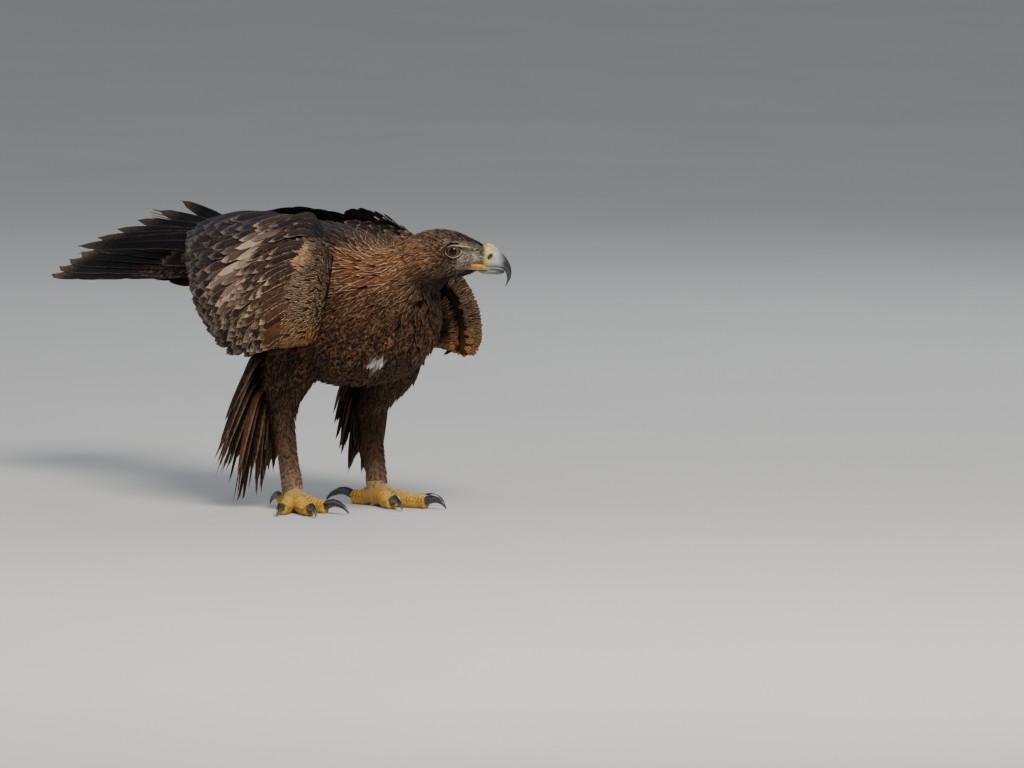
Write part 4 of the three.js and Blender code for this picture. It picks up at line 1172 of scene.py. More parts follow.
def frayed(grid, wear=0.05, splits=2):
    """Worn ends and a few splits in each vane, as small moves of its edge points."""
    n, rows, columns = grid.shape[:3]
    x = np.linspace(-1, 1, columns)
    v = np.linspace(0, 1, rows)
    along = unit(np.gradient(grid, axis=1))
    span = np.linalg.norm(grid[:, -1, columns // 2] - grid[:, 0, columns // 2], axis=1)
    push = draw.normal(0, wear * 0.35, (n, 1, columns)) * (v**6)[None, :, None]
    grid = grid + along * (push * span[:, None, None])[..., None]
    middle = grid[:, :, columns // 2 : columns // 2 + 1]
    nick = np.ones((n, rows, columns))
    for _ in range(splits):
        row = draw.integers(rows // 3, rows - 1, n)
        edge = draw.random(n) < 0.5
        near = np.exp(-(((np.arange(rows)[None] - row[:, None]) / 0.7) ** 2))
        side = np.where(edge[:, None, None], x > 0, x < 0) * np.abs(x) ** 2
        nick -= 0.14 * near[:, :, None] * side * draw.random((n, 1, 1))
    return middle + (grid - middle) * nick[..., None]


def big_patches(n, rows, columns, start, across):
    """Large feathers' maps: each gets a cell of its own on its piece's map."""
    k = start + np.arange(n)
    cells = np.stack([(k % across + 0.5) / across, (k // across + 0.5) / across], -1)
    return vane_places(n, rows, columns, 0.9 / across, cells)


WING_CELLS = 15


def make_wing(way):
    """A wing: the arm's skin, tiers of feathers over it, the primaries, and small coverts along its edge."""
    side = SIDES[way]
    points, faces, marks_here = arm_skin(way)
    look = wing_look(way, marks_here[:, 0], marks_here[:, 1])
    mesh = make_mesh("arm_" + side, points, faces, colours={"tint": look["tint"] * 0.3})
    show("arm_" + side, mesh, UNDER_DOWN, "plumage_brown", "wing_" + side)
    big = Bundle()
    number = 0
    for tier, (n, long, tips, slant, wide, deep, lift) in enumerate(WING_TIERS):
        rows, columns, shape, sweep = 16, 7, COVERT_SHAPE, -0.17
        if tier == 0:
            rows, columns, shape, sweep = 26, 9, FLIGHT_SHAPE, -0.05
        k = np.linspace(0, 1, n)
        s0 = mixed(-0.01, 0.83, k) + draw.normal(0, 0.009, n)
        s1 = s0 + slant * (0.35 + 0.65 * ease(0.0, 0.35, k)) * (1 - 0.35 * ease(0.6, 1.0, k))
        s1 += draw.normal(0, 0.012, n)
        t1 = mixed(*tips, k) + draw.normal(0, 0.018, n)
        t0 = np.maximum(t1 - long * mixed(1, 0.9, k), 0.03)
        depth = deep + FALL * (s0 - 0.4) * 0.9 + draw.normal(0, 0.25, n)
        width = wide * draw.uniform(0.9, 1.1, n)
        root, tip = np.stack([s0, t0], -1), np.stack([s1, t1], -1)
        grid = frayed(wing_vanes(way, root, tip, width, depth, rows, columns, shape, lift, sweep))
        vane, bake = big_patches(n, rows, columns, number, WING_CELLS)
        number += n
        look = wing_look(way, mixed(s0, s1, 0.8), mixed(t0, t1, 0.8), 9.0)
        tint = look["tint"] * draw.normal(0.95, 0.25, (n, 1)).clip(0.4, 1.6)
        drab = (draw.random((n, 1)) < 0.4) * ease(0.12, 0.2, tint[:, 1:2])
        tint = mixed(tint, linear([draw.choice(["3c2c22", "4b382b"])]), 0.85 * drab)
        marks = look["marks"] * draw.uniform(0.3, 1.4, (n, 3))
        big.add(grid, vane, bake, tint, marks)
    name = "wing_feathers_" + side
    show(name, big.mesh(name), WING_COVERT, "plumage_brown")
    make_primaries(way, side)
    make_lesser_coverts(way, side, Ground(points, faces, marks_here))


def make_primaries(way, side):
    """The long dark feathers that run from the wing's hand to the tips over the tail."""
    out, ahead, up = TIP_LEFT if way > 0 else TIP_RIGHT
    stations = [(0.8, 0.24, 24), (0.6, 0.52, 24), (0.42, 0.78, 21), (0.38, 0.98, 13)]
    path = [under_wing(way, np.array(s), np.array(t), np.array(float(d))) for s, t, d in stations]
    path.append(place(way * out, ahead, up))
    path = np.array(path)
    dense = between(path, np.linspace(0, 1, 200))
    reach = np.concatenate([[0], np.cumsum(np.linalg.norm(np.diff(dense, axis=0), axis=1))])
    length = reach[-1]
    start = np.array([way * 0.86, 0, 0.5])
    end = np.array([0.1, 0, 1.0]) if way > 0 else np.array([-0.7, 0, 0.7])
    rows, columns = 30, 9
    v, x = np.linspace(0, 1, rows), np.linspace(-1, 1, columns)
    bundle = Bundle()
    for k, back in enumerate(PRIMARY_BACK):
        at = v * (length - back)
        line = np.stack([np.interp(at, reach, dense[:, c]) for c in range(3)], -1)
        along = unit(np.gradient(line, axis=0))
        normal = mixed(start, end, (v * (1 - back / length))[:, None])
        normal = unit(normal - along * (normal * along).sum(-1, keepdims=True))
        across = np.cross(along, normal)
        share = smooth_shape(v, [(0, 0.5), (0.5, 1), (0.7, 0.9), (0.9, 0.6), (1, 0.1)])
        share = share * np.interp(v, [0, 0.55, 0.75, 1], [1, 1, 0.72, 0.6])
        half = 0.5 * (28 - k) * share
        off = half[:, None] * x - way * 13.0 * k * v[:, None] ** 2
        drop = -2.4 * k - 0.04 * half[:, None] * x**2 * 2 + 0.5 * np.exp(-((x / 0.12) ** 2))
        grid = line[:, None] + across[:, None] * off[..., None] + normal[:, None] * drop[..., None]
        grid = frayed(grid[None], 0.02)
        vane, bake = big_patches(1, rows, columns, k, 4)
        tint = linear(["0f1014"]) * draw.uniform(0.8, 1.3)
        bundle.add(grid, vane, bake, tint, np.array([[0.14, 0.0, 0.7]]))
    name = "primaries_" + side
    show(name, bundle.mesh(name), FLIGHT_FEATHER, "plumage_dark")


def make_lesser_coverts(way, side, ground):
    """Small feathers over the arm's leading edge, its rims and its inner face."""
    spots, normals, marks = ground.scatter(26000)
    s, t, outer = marks.T
    kept = (outer > 0.02) & (t < 0.34) & ((outer > 0.9) | (t < 0.02) | (s > 0.9) | (s < 0.1))
    kept |= (outer < 0.1) & (t < 0.5)
    spots, normals, s, t, outer = spots[kept], normals[kept], s[kept], t[kept], outer[kept]
    look = wing_look(way, s, t)
    lean = wing_normal(way, s, np.clip(t, 0.02, 1)) * (ease(0.03, 0.0, t) * 0.8)[:, None]
    look["flow"] = look["flow"] + lean
    # painted light: feathers on the arm's inner face, which lies in shade, are tinted half as bright again
    look["tint"] = look["tint"] * np.where(outer < 0.5, 1.5, 1.0)[:, None]
    kept = thin_out(spots, look["gap"] * 0.92)
    look = {key: value[kept] for key, value in look.items()}
    spots, normals, s, t, outer = spots[kept], normals[kept], s[kept], t[kept], outer[kept]
    corner = np.stack([0.02 + 0.46 * s + 0.48 * (outer < 0.5), 0.02 + 0.96 * t / 0.6], -1)
    bundle = Bundle()
    bundle.add(*small_feathers(ground, spots, normals, look, corner))
    name = "coat_wing_" + side
    show(name, bundle.mesh(name), SOFT_FEATHER, "plumage_brown")


make_wing(-1)
make_wing(1)


# ---- tail
def stacked(k, count):
    """How many feathers of a fan lie over the k-th: the middle ones lie on top."""
    from_middle = k - (count - 1) / 2
    return np.where(from_middle < 0, -2 * from_middle - 1, 2 * from_middle)


TAIL_NORMAL = np.array([-math.sin(TAIL_ROLL), 0, math.cos(TAIL_ROLL)])
TAIL_FLAT = np.array([math.cos(TAIL_ROLL), 0, math.sin(TAIL_ROLL)])


def fan(q, start, length, depth, width, rows, columns, shape, lead=0.5, droop=0.0, bow=0.08):
    """One feather of the fan: q from -1 at its right edge to 1 at its left."""
    turn = q * TAIL_SPREAD + TAIL_TURN
    away = np.array([0, math.cos(turn), 0]) + TAIL_FLAT * math.sin(turn)
    across = np.cross(away, TAIL_NORMAL)
    base = place(*TAIL_ROOT) + TAIL_FLAT * 14 * q
    v, x = np.linspace(0, 1, rows), np.linspace(-1, 1, columns)
    share = smooth_shape(v, shape)
    off = width * share[:, None] * np.where(x > 0, lead, 1 - lead) * x
    line = base + away * mixed(start, length, v)[:, None]
    down = depth + droop * (v * (1 - v))[:, None] + bow * width * 0.5 * x**2
    down = down - 0.5 * np.exp(-((x / 0.1) ** 2))
    return line[:, None] + across * off[..., None] - TAIL_NORMAL * down[..., None]


def make_tail_feathers():
    bundle = Bundle()
    rows, columns, count = 34, 11, 12
    for k in range(count):
        q = 2 * k / (count - 1) - 1
        length = TAIL_LENGTH + 7 - 9 * q * q + draw.uniform(-3, 3)
        lead = 0.36 if q > 0 else 0.64
        depth = 1.25 * float(stacked(k, count))
        grid = frayed(fan(q, 12, length, depth, 45, rows, columns, FLIGHT_SHAPE, lead)[None], 0.02, 3)
        vane, bake = big_patches(1, rows, columns, k, 6)
        v = np.linspace(0, 1, rows)[:, None]
        x = np.linspace(-1, 1, columns)[None]
        mottled = ease(0.55, 0.25, v + 0.1 * np.sin(x * 5 + k))
        tint = mixed(linear(["0e0f13"])[0], linear(["3a2c24"])[0], (mottled * 0.85)[..., None])
        marks = np.stack([0.22 + 0.3 * mottled, 0.9 * mottled, 0.7 - 0.4 * mottled], -1)
        bundle.add(grid, vane, bake, tint[None] * draw.uniform(0.85, 1.2), marks[None])
    show("tail_feathers", bundle.mesh("tail_feathers"), FLIGHT_FEATHER, "plumage_dark", "tail")


# Rows of coverts over the tail's root and under it: how many, length, depth and width
UPPER_COVERTS = [(9, 128, -2.5, 30), (8, 96, -5.5, 28), (7, 66, -8.5, 26)]
UNDER_COVERTS = [(9, 150, 15, 20), (8, 118, 21, 22), (7, 90, 27, 24)]
LOCK_SHAPE = [(0, 0.4), (0.5, 1), (1, 0.05)]


def make_tail_coverts():
    rows, columns = 16, 7
    coverts = Bundle()
    for many, long, depth, wide in UPPER_COVERTS:
        for k in range(many):
            q = (2 * k / (many - 1) - 1) * 0.8
            lie = depth + 0.5 * float(stacked(k, many)) - 0.3
            grid = fan(q, -14, long + draw.uniform(-8, 8), lie, wide, rows, columns, COVERT_SHAPE, bow=0.14)
            vane, bake = big_patches(1, rows, columns, len(coverts.points), 9)
            tint = linear([draw.choice(["2b211c", "3a2a20", "22222a", "44301f"])])
            coverts.add(frayed(grid[None]), vane, bake, tint, np.array([[0.6, 0.15, 0.4]]))
    for many, long, depth, wide in UNDER_COVERTS:
        for k in range(many):
            q = (2 * k / (many - 1) - 1) * 0.85
            lie = depth + 2.5 * abs(q) + draw.uniform(-0.6, 0.6)
            long_here = long + draw.uniform(-14, 14)
            grid = fan(q, 0, long_here, lie, wide, rows, columns, LOCK_SHAPE, droop=26.0, bow=-0.14)
            vane, bake = big_patches(1, rows, columns, len(coverts.points), 9)
            tint = linear([draw.choice(["5a3420", "6b4024", "47291a", "7a5334"])])
            coverts.add(frayed(grid[None], 0.12), vane, bake, tint, np.array([[0.6, 0.5, 0.05]]))
    show("tail_coverts", coverts.mesh("tail_coverts"), WING_COVERT, "plumage_rust")


make_tail_feathers()
make_tail_coverts()


# ---- the long feathers behind the shins
# Rows from the thigh down: how many, where on the leg, length, width, how far off the flesh, spread to the
# sides and lean to the back
TROUSERS = [
    (8, 0.09, 96, 14, 7.0, 0.7, 0.44),
    (10, 0.14, 112, 13, 7.2, 0.8, 0.42),
    (11, 0.165, 118, 12, 6.8, 0.85, 0.39),
    (11, 0.19, 124, 12, 6.5, 0.9, 0.36),
    (12, 0.24, 128, 12, 5.0, 1.05, 0.28),
    (13, 0.29, 122, 11, 3.5, 1.1, 0.2),
    (12, 0.34, 106, 10, 2.2, 1.1, 0.12),
    (11, 0.39, 84, 9, 1.2, 1.0, 0.05),
    (10, 0.45, 54, 8, 0.4, 1.0, 0.02),
]


def make_trousers(way):
    """Loose feathers that hang behind a shin and hide most of it from behind."""
    side = SIDES[way]
    middle = 0.0 if way > 0 else 0.4
    size = 0.8 if way > 0 else 1.0
    rows, columns = 12, 5
    v, x = np.linspace(0, 1, rows), np.linspace(-1, 1, columns)
    bundle = Bundle()
    for count, level, reach, width, off, spread, lean in TROUSERS:
        for k in range(count):
            q = 2 * k / (count - 1) - 1
            turn = middle + q * spread * size**2 + draw.normal(0, 0.07)
            left, ahead, up, wide, _, behind = between(leg_rows(way), level + draw.normal(0, 0.012))
            out = np.array([way * math.sin(turn), math.cos(turn), 0])
            base = place(left, ahead, up)
            long = size * reach * (1 - 0.2 * abs(q)) * draw.uniform(0.8, 1.12)
            fall = unit(np.array([0, size**2 * lean + 0.04 + draw.normal(0, 0.05), -1]) + out * 0.4 * lean)
            flesh = 0.5 * (wide + behind)
            stations = [(0.5, 0), (0.98, 0.14), (1.02, 0.6), (0.93 + draw.normal(0, 0.05), 1)]
            path = np.array([base + out * (flesh * a + off) + fall * b * long for a, b in stations])
            line = between(path, v)
            bend = np.cross(out, UP) * draw.normal(0, 4.0)
            line = line + bend * (v**2)[:, None]
            along = unit(np.gradient(line, axis=0))
            normal = unit(out - along * (along @ out)[:, None])
            across = np.cross(along, normal)
            share = vane_width(v, 0.8) * 0.62 * width * draw.uniform(0.8, 1.25)
            flat = share[:, None] * x
            drop = -0.2 * share[:, None] * x**2 * 2
            grid = line[:, None] + across[:, None] * flat[..., None] + normal[:, None] * drop[..., None]
            fray = draw.normal(0, 3.2, columns) * (v**3)[:, None]
            grid = grid + along[:, None] * fray[..., None]
            grid[..., 2] = np.maximum(grid[..., 2], 6.0)
            corner = unwrap_leg(base[None] + out * flesh, way)
            vane, bake = vane_places(1, rows, columns, SMALL_PATCH, corner)
            hue = draw.choice(["2b1b13", "35221a", "1f150f", "4a2f1e", "241812"])
            tint = linear([hue]) * draw.uniform(0.8, 1.3)
            bundle.add(grid[None], vane, bake, tint, np.array([[0.35, 0.25, 0.05]]))
    name = "trousers_" + side
    show(name, bundle.mesh(name), SOFT_FEATHER, "plumage_rust")


make_trousers(-1)
make_trousers(1)


# ---- bill, gape, eyes and lids
BILL_SIDES = 72


def bill_grid(start, end, rings, sides):
    """The upper bill between two shares of its length: fore, side, up, and the share up it."""
    values = between(BILL, np.linspace(start, end, rings))
    turn = 2 * np.pi * (np.arange(sides) + 0.5) / sides
    rise = 0.5 + 0.5 * np.sin(turn)
    full = np.sign(np.cos(turn)) * np.abs(np.cos(turn)) ** 0.8
    narrow = mixed(1.08, 0.62, rise)
    fa, ua, fb, ub, wide = (values[:, k : k + 1] for k in range(5))
    fore, high = mixed(fb, fa, rise), mixed(ub, ua, rise)
    return fore, full * wide * narrow, high, rise


def paint(stops, share):
    """Colours along a share from stops of (share, RRGGBB)."""
    at = [s for s, _ in stops]
    rgb = linear([h for _, h in stops])
    return np.stack([np.interp(share, at, rgb[:, c]) for c in range(3)], -1)


def with_poles(tint):
    """Colours of rings of points with those of the two poles that close them."""
    return np.concatenate([tint.reshape(-1, 3), tint[0, :1], tint[-1, :1]])


NOSTRIL_FORE, NOSTRIL_UP = 39.0, -6.6


def nostril_dent(fore, side, high):
    """How much of the nostril's slot a point lies in, from 0 outside to 1 in its middle."""
    ahead, above = fore - NOSTRIL_FORE, high - NOSTRIL_UP
    along = ahead * 0.62 + above * 0.78
    across = -ahead * 0.78 + above * 0.62
    return ease(1.3, 0.5, np.sqrt((along / 3.9) ** 2 + (across / 2.3) ** 2)) * (np.abs(side) > 4)


def make_cere():
    """The waxy yellow skin at the bill's root, with the nostrils' slots."""
    fore, side, high, rise = bill_grid(0.10, 0.385, 60, BILL_SIDES)
    swell = 0.5 * ease(45.5, 43.0, fore)
    dent = nostril_dent(fore, side, high)
    side = side + np.sign(side) * (swell - 2.6 * dent)
    high = high + 0.6 * ease(45.5, 43.0, fore) * rise
    pleat = 0.12 * np.sin(fore * 3.1 + high * 0.9) * ease(44, 40, fore)
    sunk = ease(34.5 + 1.2 * np.sin(high * 0.9), 29.5, fore)
    side = side + np.sign(side) * pleat
    side = side * (1 - 0.2 * sunk)
    high = high - 1.8 * sunk * rise
    points, faces = skin_rings(on_head(fore, side, high))
    rear = fore - 0.45 * (high + 8) + 0.4 * np.sin(high * 1.3)
    tint = paint([(0, "8f8256"), (0.25, "cdbf72"), (0.7, "c8bb6c"), (1, "adaca0")], (rear - 27) / 15)
    low = (ease(-12, -17, high) * ease(40, 34, fore))[..., None]
    tint = mixed(tint, linear(["d2ab42"])[0], 0.8 * low)
    around = np.exp(-(((fore - NOSTRIL_FORE) / 4.5) ** 2 + ((high - NOSTRIL_UP) / 4) ** 2))[..., None]
    tint = mixed(tint, linear(["c9b65a"])[0], 0.6 * around)
    # painted shade: near black inside each nostril's slot
    tint = mixed(tint, linear(["0d0b0a"])[0], ease(0.15, 0.7, dent)[..., None])
    mesh = make_mesh("cere_skin", points, faces, colours={"tint": with_poles(tint)})
    show("cere_skin", mesh, CERE_SKIN, "skin_yellow", "cere")


def make_hook():
    """The upper bill's horn: pale blue grey by the cere, black along the ridge and the hook."""
    fore, side, high, rise = bill_grid(0.355, 1.0, 110, BILL_SIDES)
    shrink = 1 - 0.03 * ease(46, 43, fore)
    side = side * shrink
    ridge = 0.15 * np.sin((fore - high) * 0.7) * (1 - rise)
    side = side + np.sign(side) * ridge
    points, faces = skin_rings(on_head(fore, side, high))
    share = (fore - 42) / 22 + 0.03 * np.sin(high * 0.8) + np.clip(-high - 15, 0, 40) / 30
    tint = paint(
        [(0, "adaca0"), (0.2, "a4a9ab"), (0.36, "8b949a"), (0.47, "646b72"), (0.57, "2b2d33"), (1, "15161a")],
        np.clip(share, 0, 1),
    )
    edge = (ease(0.25, 0.05, rise) * ease(60, 44, fore))[..., None]
    tint = mixed(tint, linear(["6f6a68"])[0], 0.6 * edge)
    dark_ridge = (ease(0.86, 1.0, rise) * ease(46, 52, fore))[..., None]
    tint = mixed(tint, linear(["33383e"])[0], 0.6 * dark_ridge)
    mesh = make_mesh("bill_hook", points, faces, colours={"tint": with_poles(tint)})
    show("bill_hook", mesh, HORN, "bill_horn", "bill_upper")


def make_under_bill():
    rows = [[25, -20.6, 7, 1.2, 1.2], *LOWER_BILL[1:]]
    points, faces = skin_rings(loft_rings(head_rows(rows), 50, 40))
    share = (from_head(points)[:, 0] - 24) / 30
    tint = paint([(0, "6f604a"), (0.3, "8d897e"), (0.6, "5b6064"), (1, "25272b")], share)
    mesh = make_mesh("bill_under", points, faces, colours={"tint": tint})
    show("bill_under", mesh, HORN, "bill_horn", "bill_lower")


def tube_rings(line, radii, sides, flat=1.0, top=UP):
    """Rings round a line of points, with a radius for each and the share that each is flattened upwards."""
    along = unit(np.gradient(line, axis=0))
    side = unit(np.cross(top, along))
    rise = np.cross(along, side)
    turn = 2 * np.pi * (np.arange(sides) + 0.5) / sides
    ring = side[:, None] * np.cos(turn)[None, :, None] * radii[:, None, None]
    ring = ring + rise[:, None] * (np.sin(turn)[None, :] * (radii * flat)[:, None])[..., None]
    return line[:, None] + ring


def skull_side(fore, up):
    """How far out the head's flesh is at a place along it and up it."""
    at = np.interp(fore, [r[0] for r in SKULL], np.arange(len(SKULL))) / (len(SKULL) - 1)
    _, middle, wide, high, low = between(SKULL, at).T
    rel = (up - middle) / np.where(up > middle, high, low)
    return wide * (1 - np.clip(np.abs(rel), 0, 0.98) ** SQUARE) ** (1 / SQUARE)


def make_gape():
    """The fleshy yellow lips: two rolls on each side that run back under the eye, with the mouth between."""
    shells = []
    for way in (1, -1):
        for lip in (1, -1):
            fore = np.linspace(39, 9, 44)
            share = np.linspace(0, 1, 44)
            part = 0.15 + 0.85 * np.sin(np.pi * np.clip(share * 1.02, 0, 1)) ** 0.6
            up = MOUTH + 0.4 + 1.0 * share**2 + lip * part
            on_bill = np.interp(fore, [31, 38, 45], [14.0, 12.6, 10.9])
            out = np.where(fore > 31, on_bill, skull_side(fore, up) - 0.4)
            out = mixed(np.interp(fore, [4, 31], [24.6, 14.2]), out, 0.35)
            line = on_head(fore, way * out, up)
            full = 0.95 * np.sin(np.pi * np.clip(0.06 + 0.93 * share, 0, 1)) ** 0.5
            radii = full * (1 + 0.1 * np.sin(fore * 2.2))
            shells.append(skin_rings(tube_rings(line, np.maximum(radii, 0.2), 14)))
        corner = on_head(27, way * 14.9, -15.8)
        axes = (FORE * 8.5 - SIDE * way * 2.7 - UP * 0.8, UP * 2.3, SIDE * way * 1.5)
        shells.append(oval_ball(corner, axes))
    points, faces = joined(shells)
    stops = [(0, "2c1f18"), (0.25, "5d4630"), (0.45, "a87a24"), (0.8, "b98f30"), (1, "a39264")]
    tint = paint(stops, (from_head(points)[:, 0] - 8) / 34)
    show("gape", make_mesh("gape", points, faces, colours={"tint": tint}), CERE_SKIN, "skin_yellow")


def make_eye(way):
    """An eyeball with a low bulge at its front, mapped by turn and reach from its axis."""
    side = SIDES[way]
    rings, sides = 48, 56
    theta = np.linspace(0.0, np.pi, rings + 2)[1:-1] ** 1.25 / np.pi**0.25
    turn = 2 * np.pi * np.arange(sides) / sides
    radius = EYE_RADIUS - 0.35 + 0.55 * np.exp(-((theta / 0.55) ** 2))
    out = np.sin(theta)[:, None]
    centre = on_head(EYE_FORE, way * EYE_SIDE, EYE_UP)
    grid = (
        centre
        + way * SIDE * (radius * np.cos(theta))[:, None, None]
        + FORE * (radius[:, None] * out * np.cos(turn))[..., None]
        + UP * (radius[:, None] * out * np.sin(turn))[..., None]
    )
    points, faces = skin_rings(grid)
    reach = np.where(theta < np.pi / 2, np.sin(theta), 1.0)
    polar = np.stack(np.broadcast_arrays(turn[None] / (2 * np.pi), reach[:, None]), -1).reshape(-1, 2)
    polar = np.concatenate([polar, [[0, 0], [0, 1]]])
    if way > 0:
        faces = [face[::-1] for face in faces]
    name = "eyeball_" + side
    show(name, make_mesh(name, points, faces, uvs={"Polar": polar}), EYE_WET, "eye_amber", "eye_" + side)


def make_lid(way):
    """The lids round an eye: a rolled inner edge that lies on the eyeball and a skirt that runs out under
    the feathers, cut to an almond and lower at the brow."""
    side = SIDES[way]
    turn = np.linspace(0, 2 * np.pi, 97)[:-1]
    across = 7.3 * np.cos(turn) + 1.0 * np.cos(turn) * np.abs(np.cos(turn)) ** 3
    tall = np.where(np.sin(turn) > 0, 4.7, 6.2) * np.sin(turn)
    profile = [(0.97, -0.9), (0.985, 0.05), (1.0, 0.55), (1.05, 0.8), (1.1, 0.6), (1.14, 0.2), (1.22, -0.1),
               (1.36, -0.5), (1.5, -1.6), (1.4, -2.6), (1.15, -2.6)]
    rings = []
    for grow, lift in profile:
        a, b = across * grow, tall * grow
        r = np.hypot(a, b)
        ball = EYE_SIDE + np.sqrt(np.clip(EYE_RADIUS**2 - np.minimum(r, 8.9) ** 2, 1, None))
        slope = np.clip(r - 8.9, 0, None) * 0.5
        crease = 0.12 * np.sin(turn * 26) * (1.05 < grow < 1.5)
        rings.append(on_head(EYE_FORE + a, way * (ball - slope + lift + crease), EYE_UP + b))
    grid = np.array(rings)
    count, sides = grid.shape[:2]
    points = grid.reshape(-1, 3)
    faces = []
    for i in range(count):
        for j in range(sides):
            k, m = (j + 1) % sides, (i + 1) % count
            face = [i * sides + j, i * sides + k, m * sides + k, m * sides + j]
            faces.append(face if way > 0 else face[::-1])
    shade = np.array([0.1, 0.3, 0.8, 1.0, 0.7, 0.35, 0.22, 0.18, 0.15, 0.15, 0.15])[:, None, None]
    shade = shade * mixed(1.0, 0.35, ease(-0.1, 0.6, np.sin(turn)))[None, :, None]
    tint = np.broadcast_to(linear(["c2b19a"]) * shade, grid.shape).reshape(-1, 3)
    name = "lid_" + side
    show(name, make_mesh(name, points, faces, colours={"tint": tint}), CERE_SKIN, "skin_yellow")


BROW = [[-5, 28.2, 5.6], [0, 28.4, 7.0], [6, 27.2, 6.9], [12, 25.2, 6.1], [17, 22.6, 5.2], [23, 18.8, 3.8]]


def make_brow(way):
    """The pale bony ridge that overhangs an eye and runs forward from it."""
    side = SIDES[way]
    fore, out, up = np.array(BROW).T
    share = np.linspace(0, 1, 60)
    line = between(on_head(fore, way * out, up), share)
    radii = 0.2 + 1.15 * np.sin(np.pi * np.clip(share, 0.02, 0.98)) ** 0.7 + 0.12 * np.sin(share * 47)
    points, faces = skin_rings(tube_rings(line, radii, 14, 0.8))
    h = from_head(points)
    stops = [(0, "4f3b2c"), (0.15, "8f7c66"), (0.5, "b5a48c"), (0.85, "a89880"), (1, "5c5146")]
    tint = paint(stops, (h[:, 0] + 6) / 28)
    # painted shadow: the ridge's upper side is darkened
    above = ease(0.2, 1.0, h[:, 2] - np.interp(h[:, 0], fore, up))
    tint = mixed(tint, linear(["3c2c20"])[0], 0.75 * above[:, None])
    name = "brow_" + side
    show(name, make_mesh(name, points, faces, colours={"tint": tint}), CERE_SKIN, "skin_yellow")


make_cere()
make_hook()
make_under_bill()
make_gape()
for way in (1, -1):
    make_eye(way)
    make_lid(way)
    make_brow(way)


# ---- repeats made with Geometry Nodes
def open_tree(name, inputs):
    """A tree that takes a mesh and inputs of [name, kind, value], and those inputs' identifiers."""
    tree = bpy.data.node_groups.new(name, "GeometryNodeTree")
    tree.interface.new_socket(name="Geometry", in_out="INPUT", socket_type="NodeSocketGeometry")
    names = {}
    for key, kind, value in inputs:
        made = tree.interface.new_socket(name=key, in_out="INPUT", socket_type="NodeSocket" + kind)
        made.default_value = value
        names[key] = made.identifier
    tree.interface.new_socket(name="Geometry", in_out="OUTPUT", socket_type="NodeSocketGeometry")
    return tree, names


def close_tree(tree, grown, material):
    """Makes a tree's instances real, gives them their material and hands them out."""
    real = tree.nodes.new("GeometryNodeRealizeInstances")
    tree.links.new(grown, real.inputs["Geometry"])
    finish = tree.nodes.new("GeometryNodeSetMaterial")
    finish.inputs["Material"].default_value = material
    tree.links.new(real.outputs["Geometry"], finish.inputs["Geometry"])
    out = tree.nodes.new("NodeGroupOutput")
    tree.links.new(finish.outputs["Geometry"], out.inputs["Geometry"])


def grow_nodes(name, ground_mesh, tree, values, material):
    """Runs a tree on a mesh once and returns the plain mesh that it makes."""
    carrier = bpy.data.objects.new(name, ground_mesh)
    bpy.context.scene.collection.objects.link(carrier)
    modifier = carrier.modifiers.new("Grow", "NODES")
    modifier.node_group = tree
    for identifier, value in values.items():
        modifier[identifier] = value
    carrier.update_tag()
    graph = bpy.context.evaluated_depsgraph_get()
    made = bpy.data.meshes.new_from_object(carrier.evaluated_get(graph))
    bpy.data.objects.remove(carrier)
    made.materials.clear()
    made.materials.append(material)
    return made


def bristle_tree(material):
    """Bristles that stand as straight tapered cones on the faces they are given, combed along the Comb
    attribute.
    """
    inputs = [
        ["Density", "Float", 700000.0],
        ["Length", "Float", 0.0062],
        ["Radius", "Float", 0.00013],
        ["Seed", "Int", 5],
    ]
    tree, names = open_tree("Bristles", inputs)
    new, link = tree.nodes.new, tree.links.new
    given = new("NodeGroupInput")
    spread = new("GeometryNodeDistributePointsOnFaces")
    link(given.outputs["Geometry"], spread.inputs["Mesh"])
    link(given.outputs["Density"], spread.inputs["Density"])
    link(given.outputs["Seed"], spread.inputs["Seed"])
    comb = new("GeometryNodeInputNamedAttribute")
    comb.data_type = "FLOAT_VECTOR"
    comb.inputs["Name"].default_value = "Comb"
    jitter = new("FunctionNodeRandomValue")
    jitter.data_type = "FLOAT_VECTOR"
    jitter.inputs["Min"].default_value = (-0.25, -0.25, -0.25)
    jitter.inputs["Max"].default_value = (0.25, 0.25, 0.25)
    link(given.outputs["Seed"], jitter.inputs["Seed"])
    add = new("ShaderNodeVectorMath")
    add.operation = "ADD"
    link(comb.outputs["Attribute"], add.inputs[0])
    link(jitter.outputs["Value"], add.inputs[1])
    align = new("FunctionNodeAlignRotationToVector")
    align.axis = "Z"
    link(add.outputs[0], align.inputs["Vector"])
    stem = new("GeometryNodeMeshCone")
    stem.inputs["Vertices"].default_value = 4
    stem.inputs["Side Segments"].default_value = 3
    stem.inputs["Radius Top"].default_value = 0.00002
    link(given.outputs["Radius"], stem.inputs["Radius Bottom"])
    link(given.outputs["Length"], stem.inputs["Depth"])
    size = new("FunctionNodeRandomValue")
    size.data_type = "FLOAT"
    size.inputs[2].default_value = 0.5
    size.inputs[3].default_value = 1.2
    put = new("GeometryNodeInstanceOnPoints")
    link(spread.outputs["Points"], put.inputs["Points"])
    link(stem.outputs["Mesh"], put.inputs["Instance"])
    link(align.outputs["Rotation"], put.inputs["Rotation"])
    link(size.outputs[1], put.inputs["Scale"])
    close_tree(tree, put.outputs["Instances"], material)
    return tree, names


def bristle_finish():
    f = Finish("Bristle", sheen_weight=0.1, specular_ior_level=0.3)
    grain = f.noise(500.0)
    return f.done(f.blend(f.ramp(grain, 0.35, 0.65), (0.03, 0.025, 0.022), (0.16, 0.13, 0.11)), 0.6)


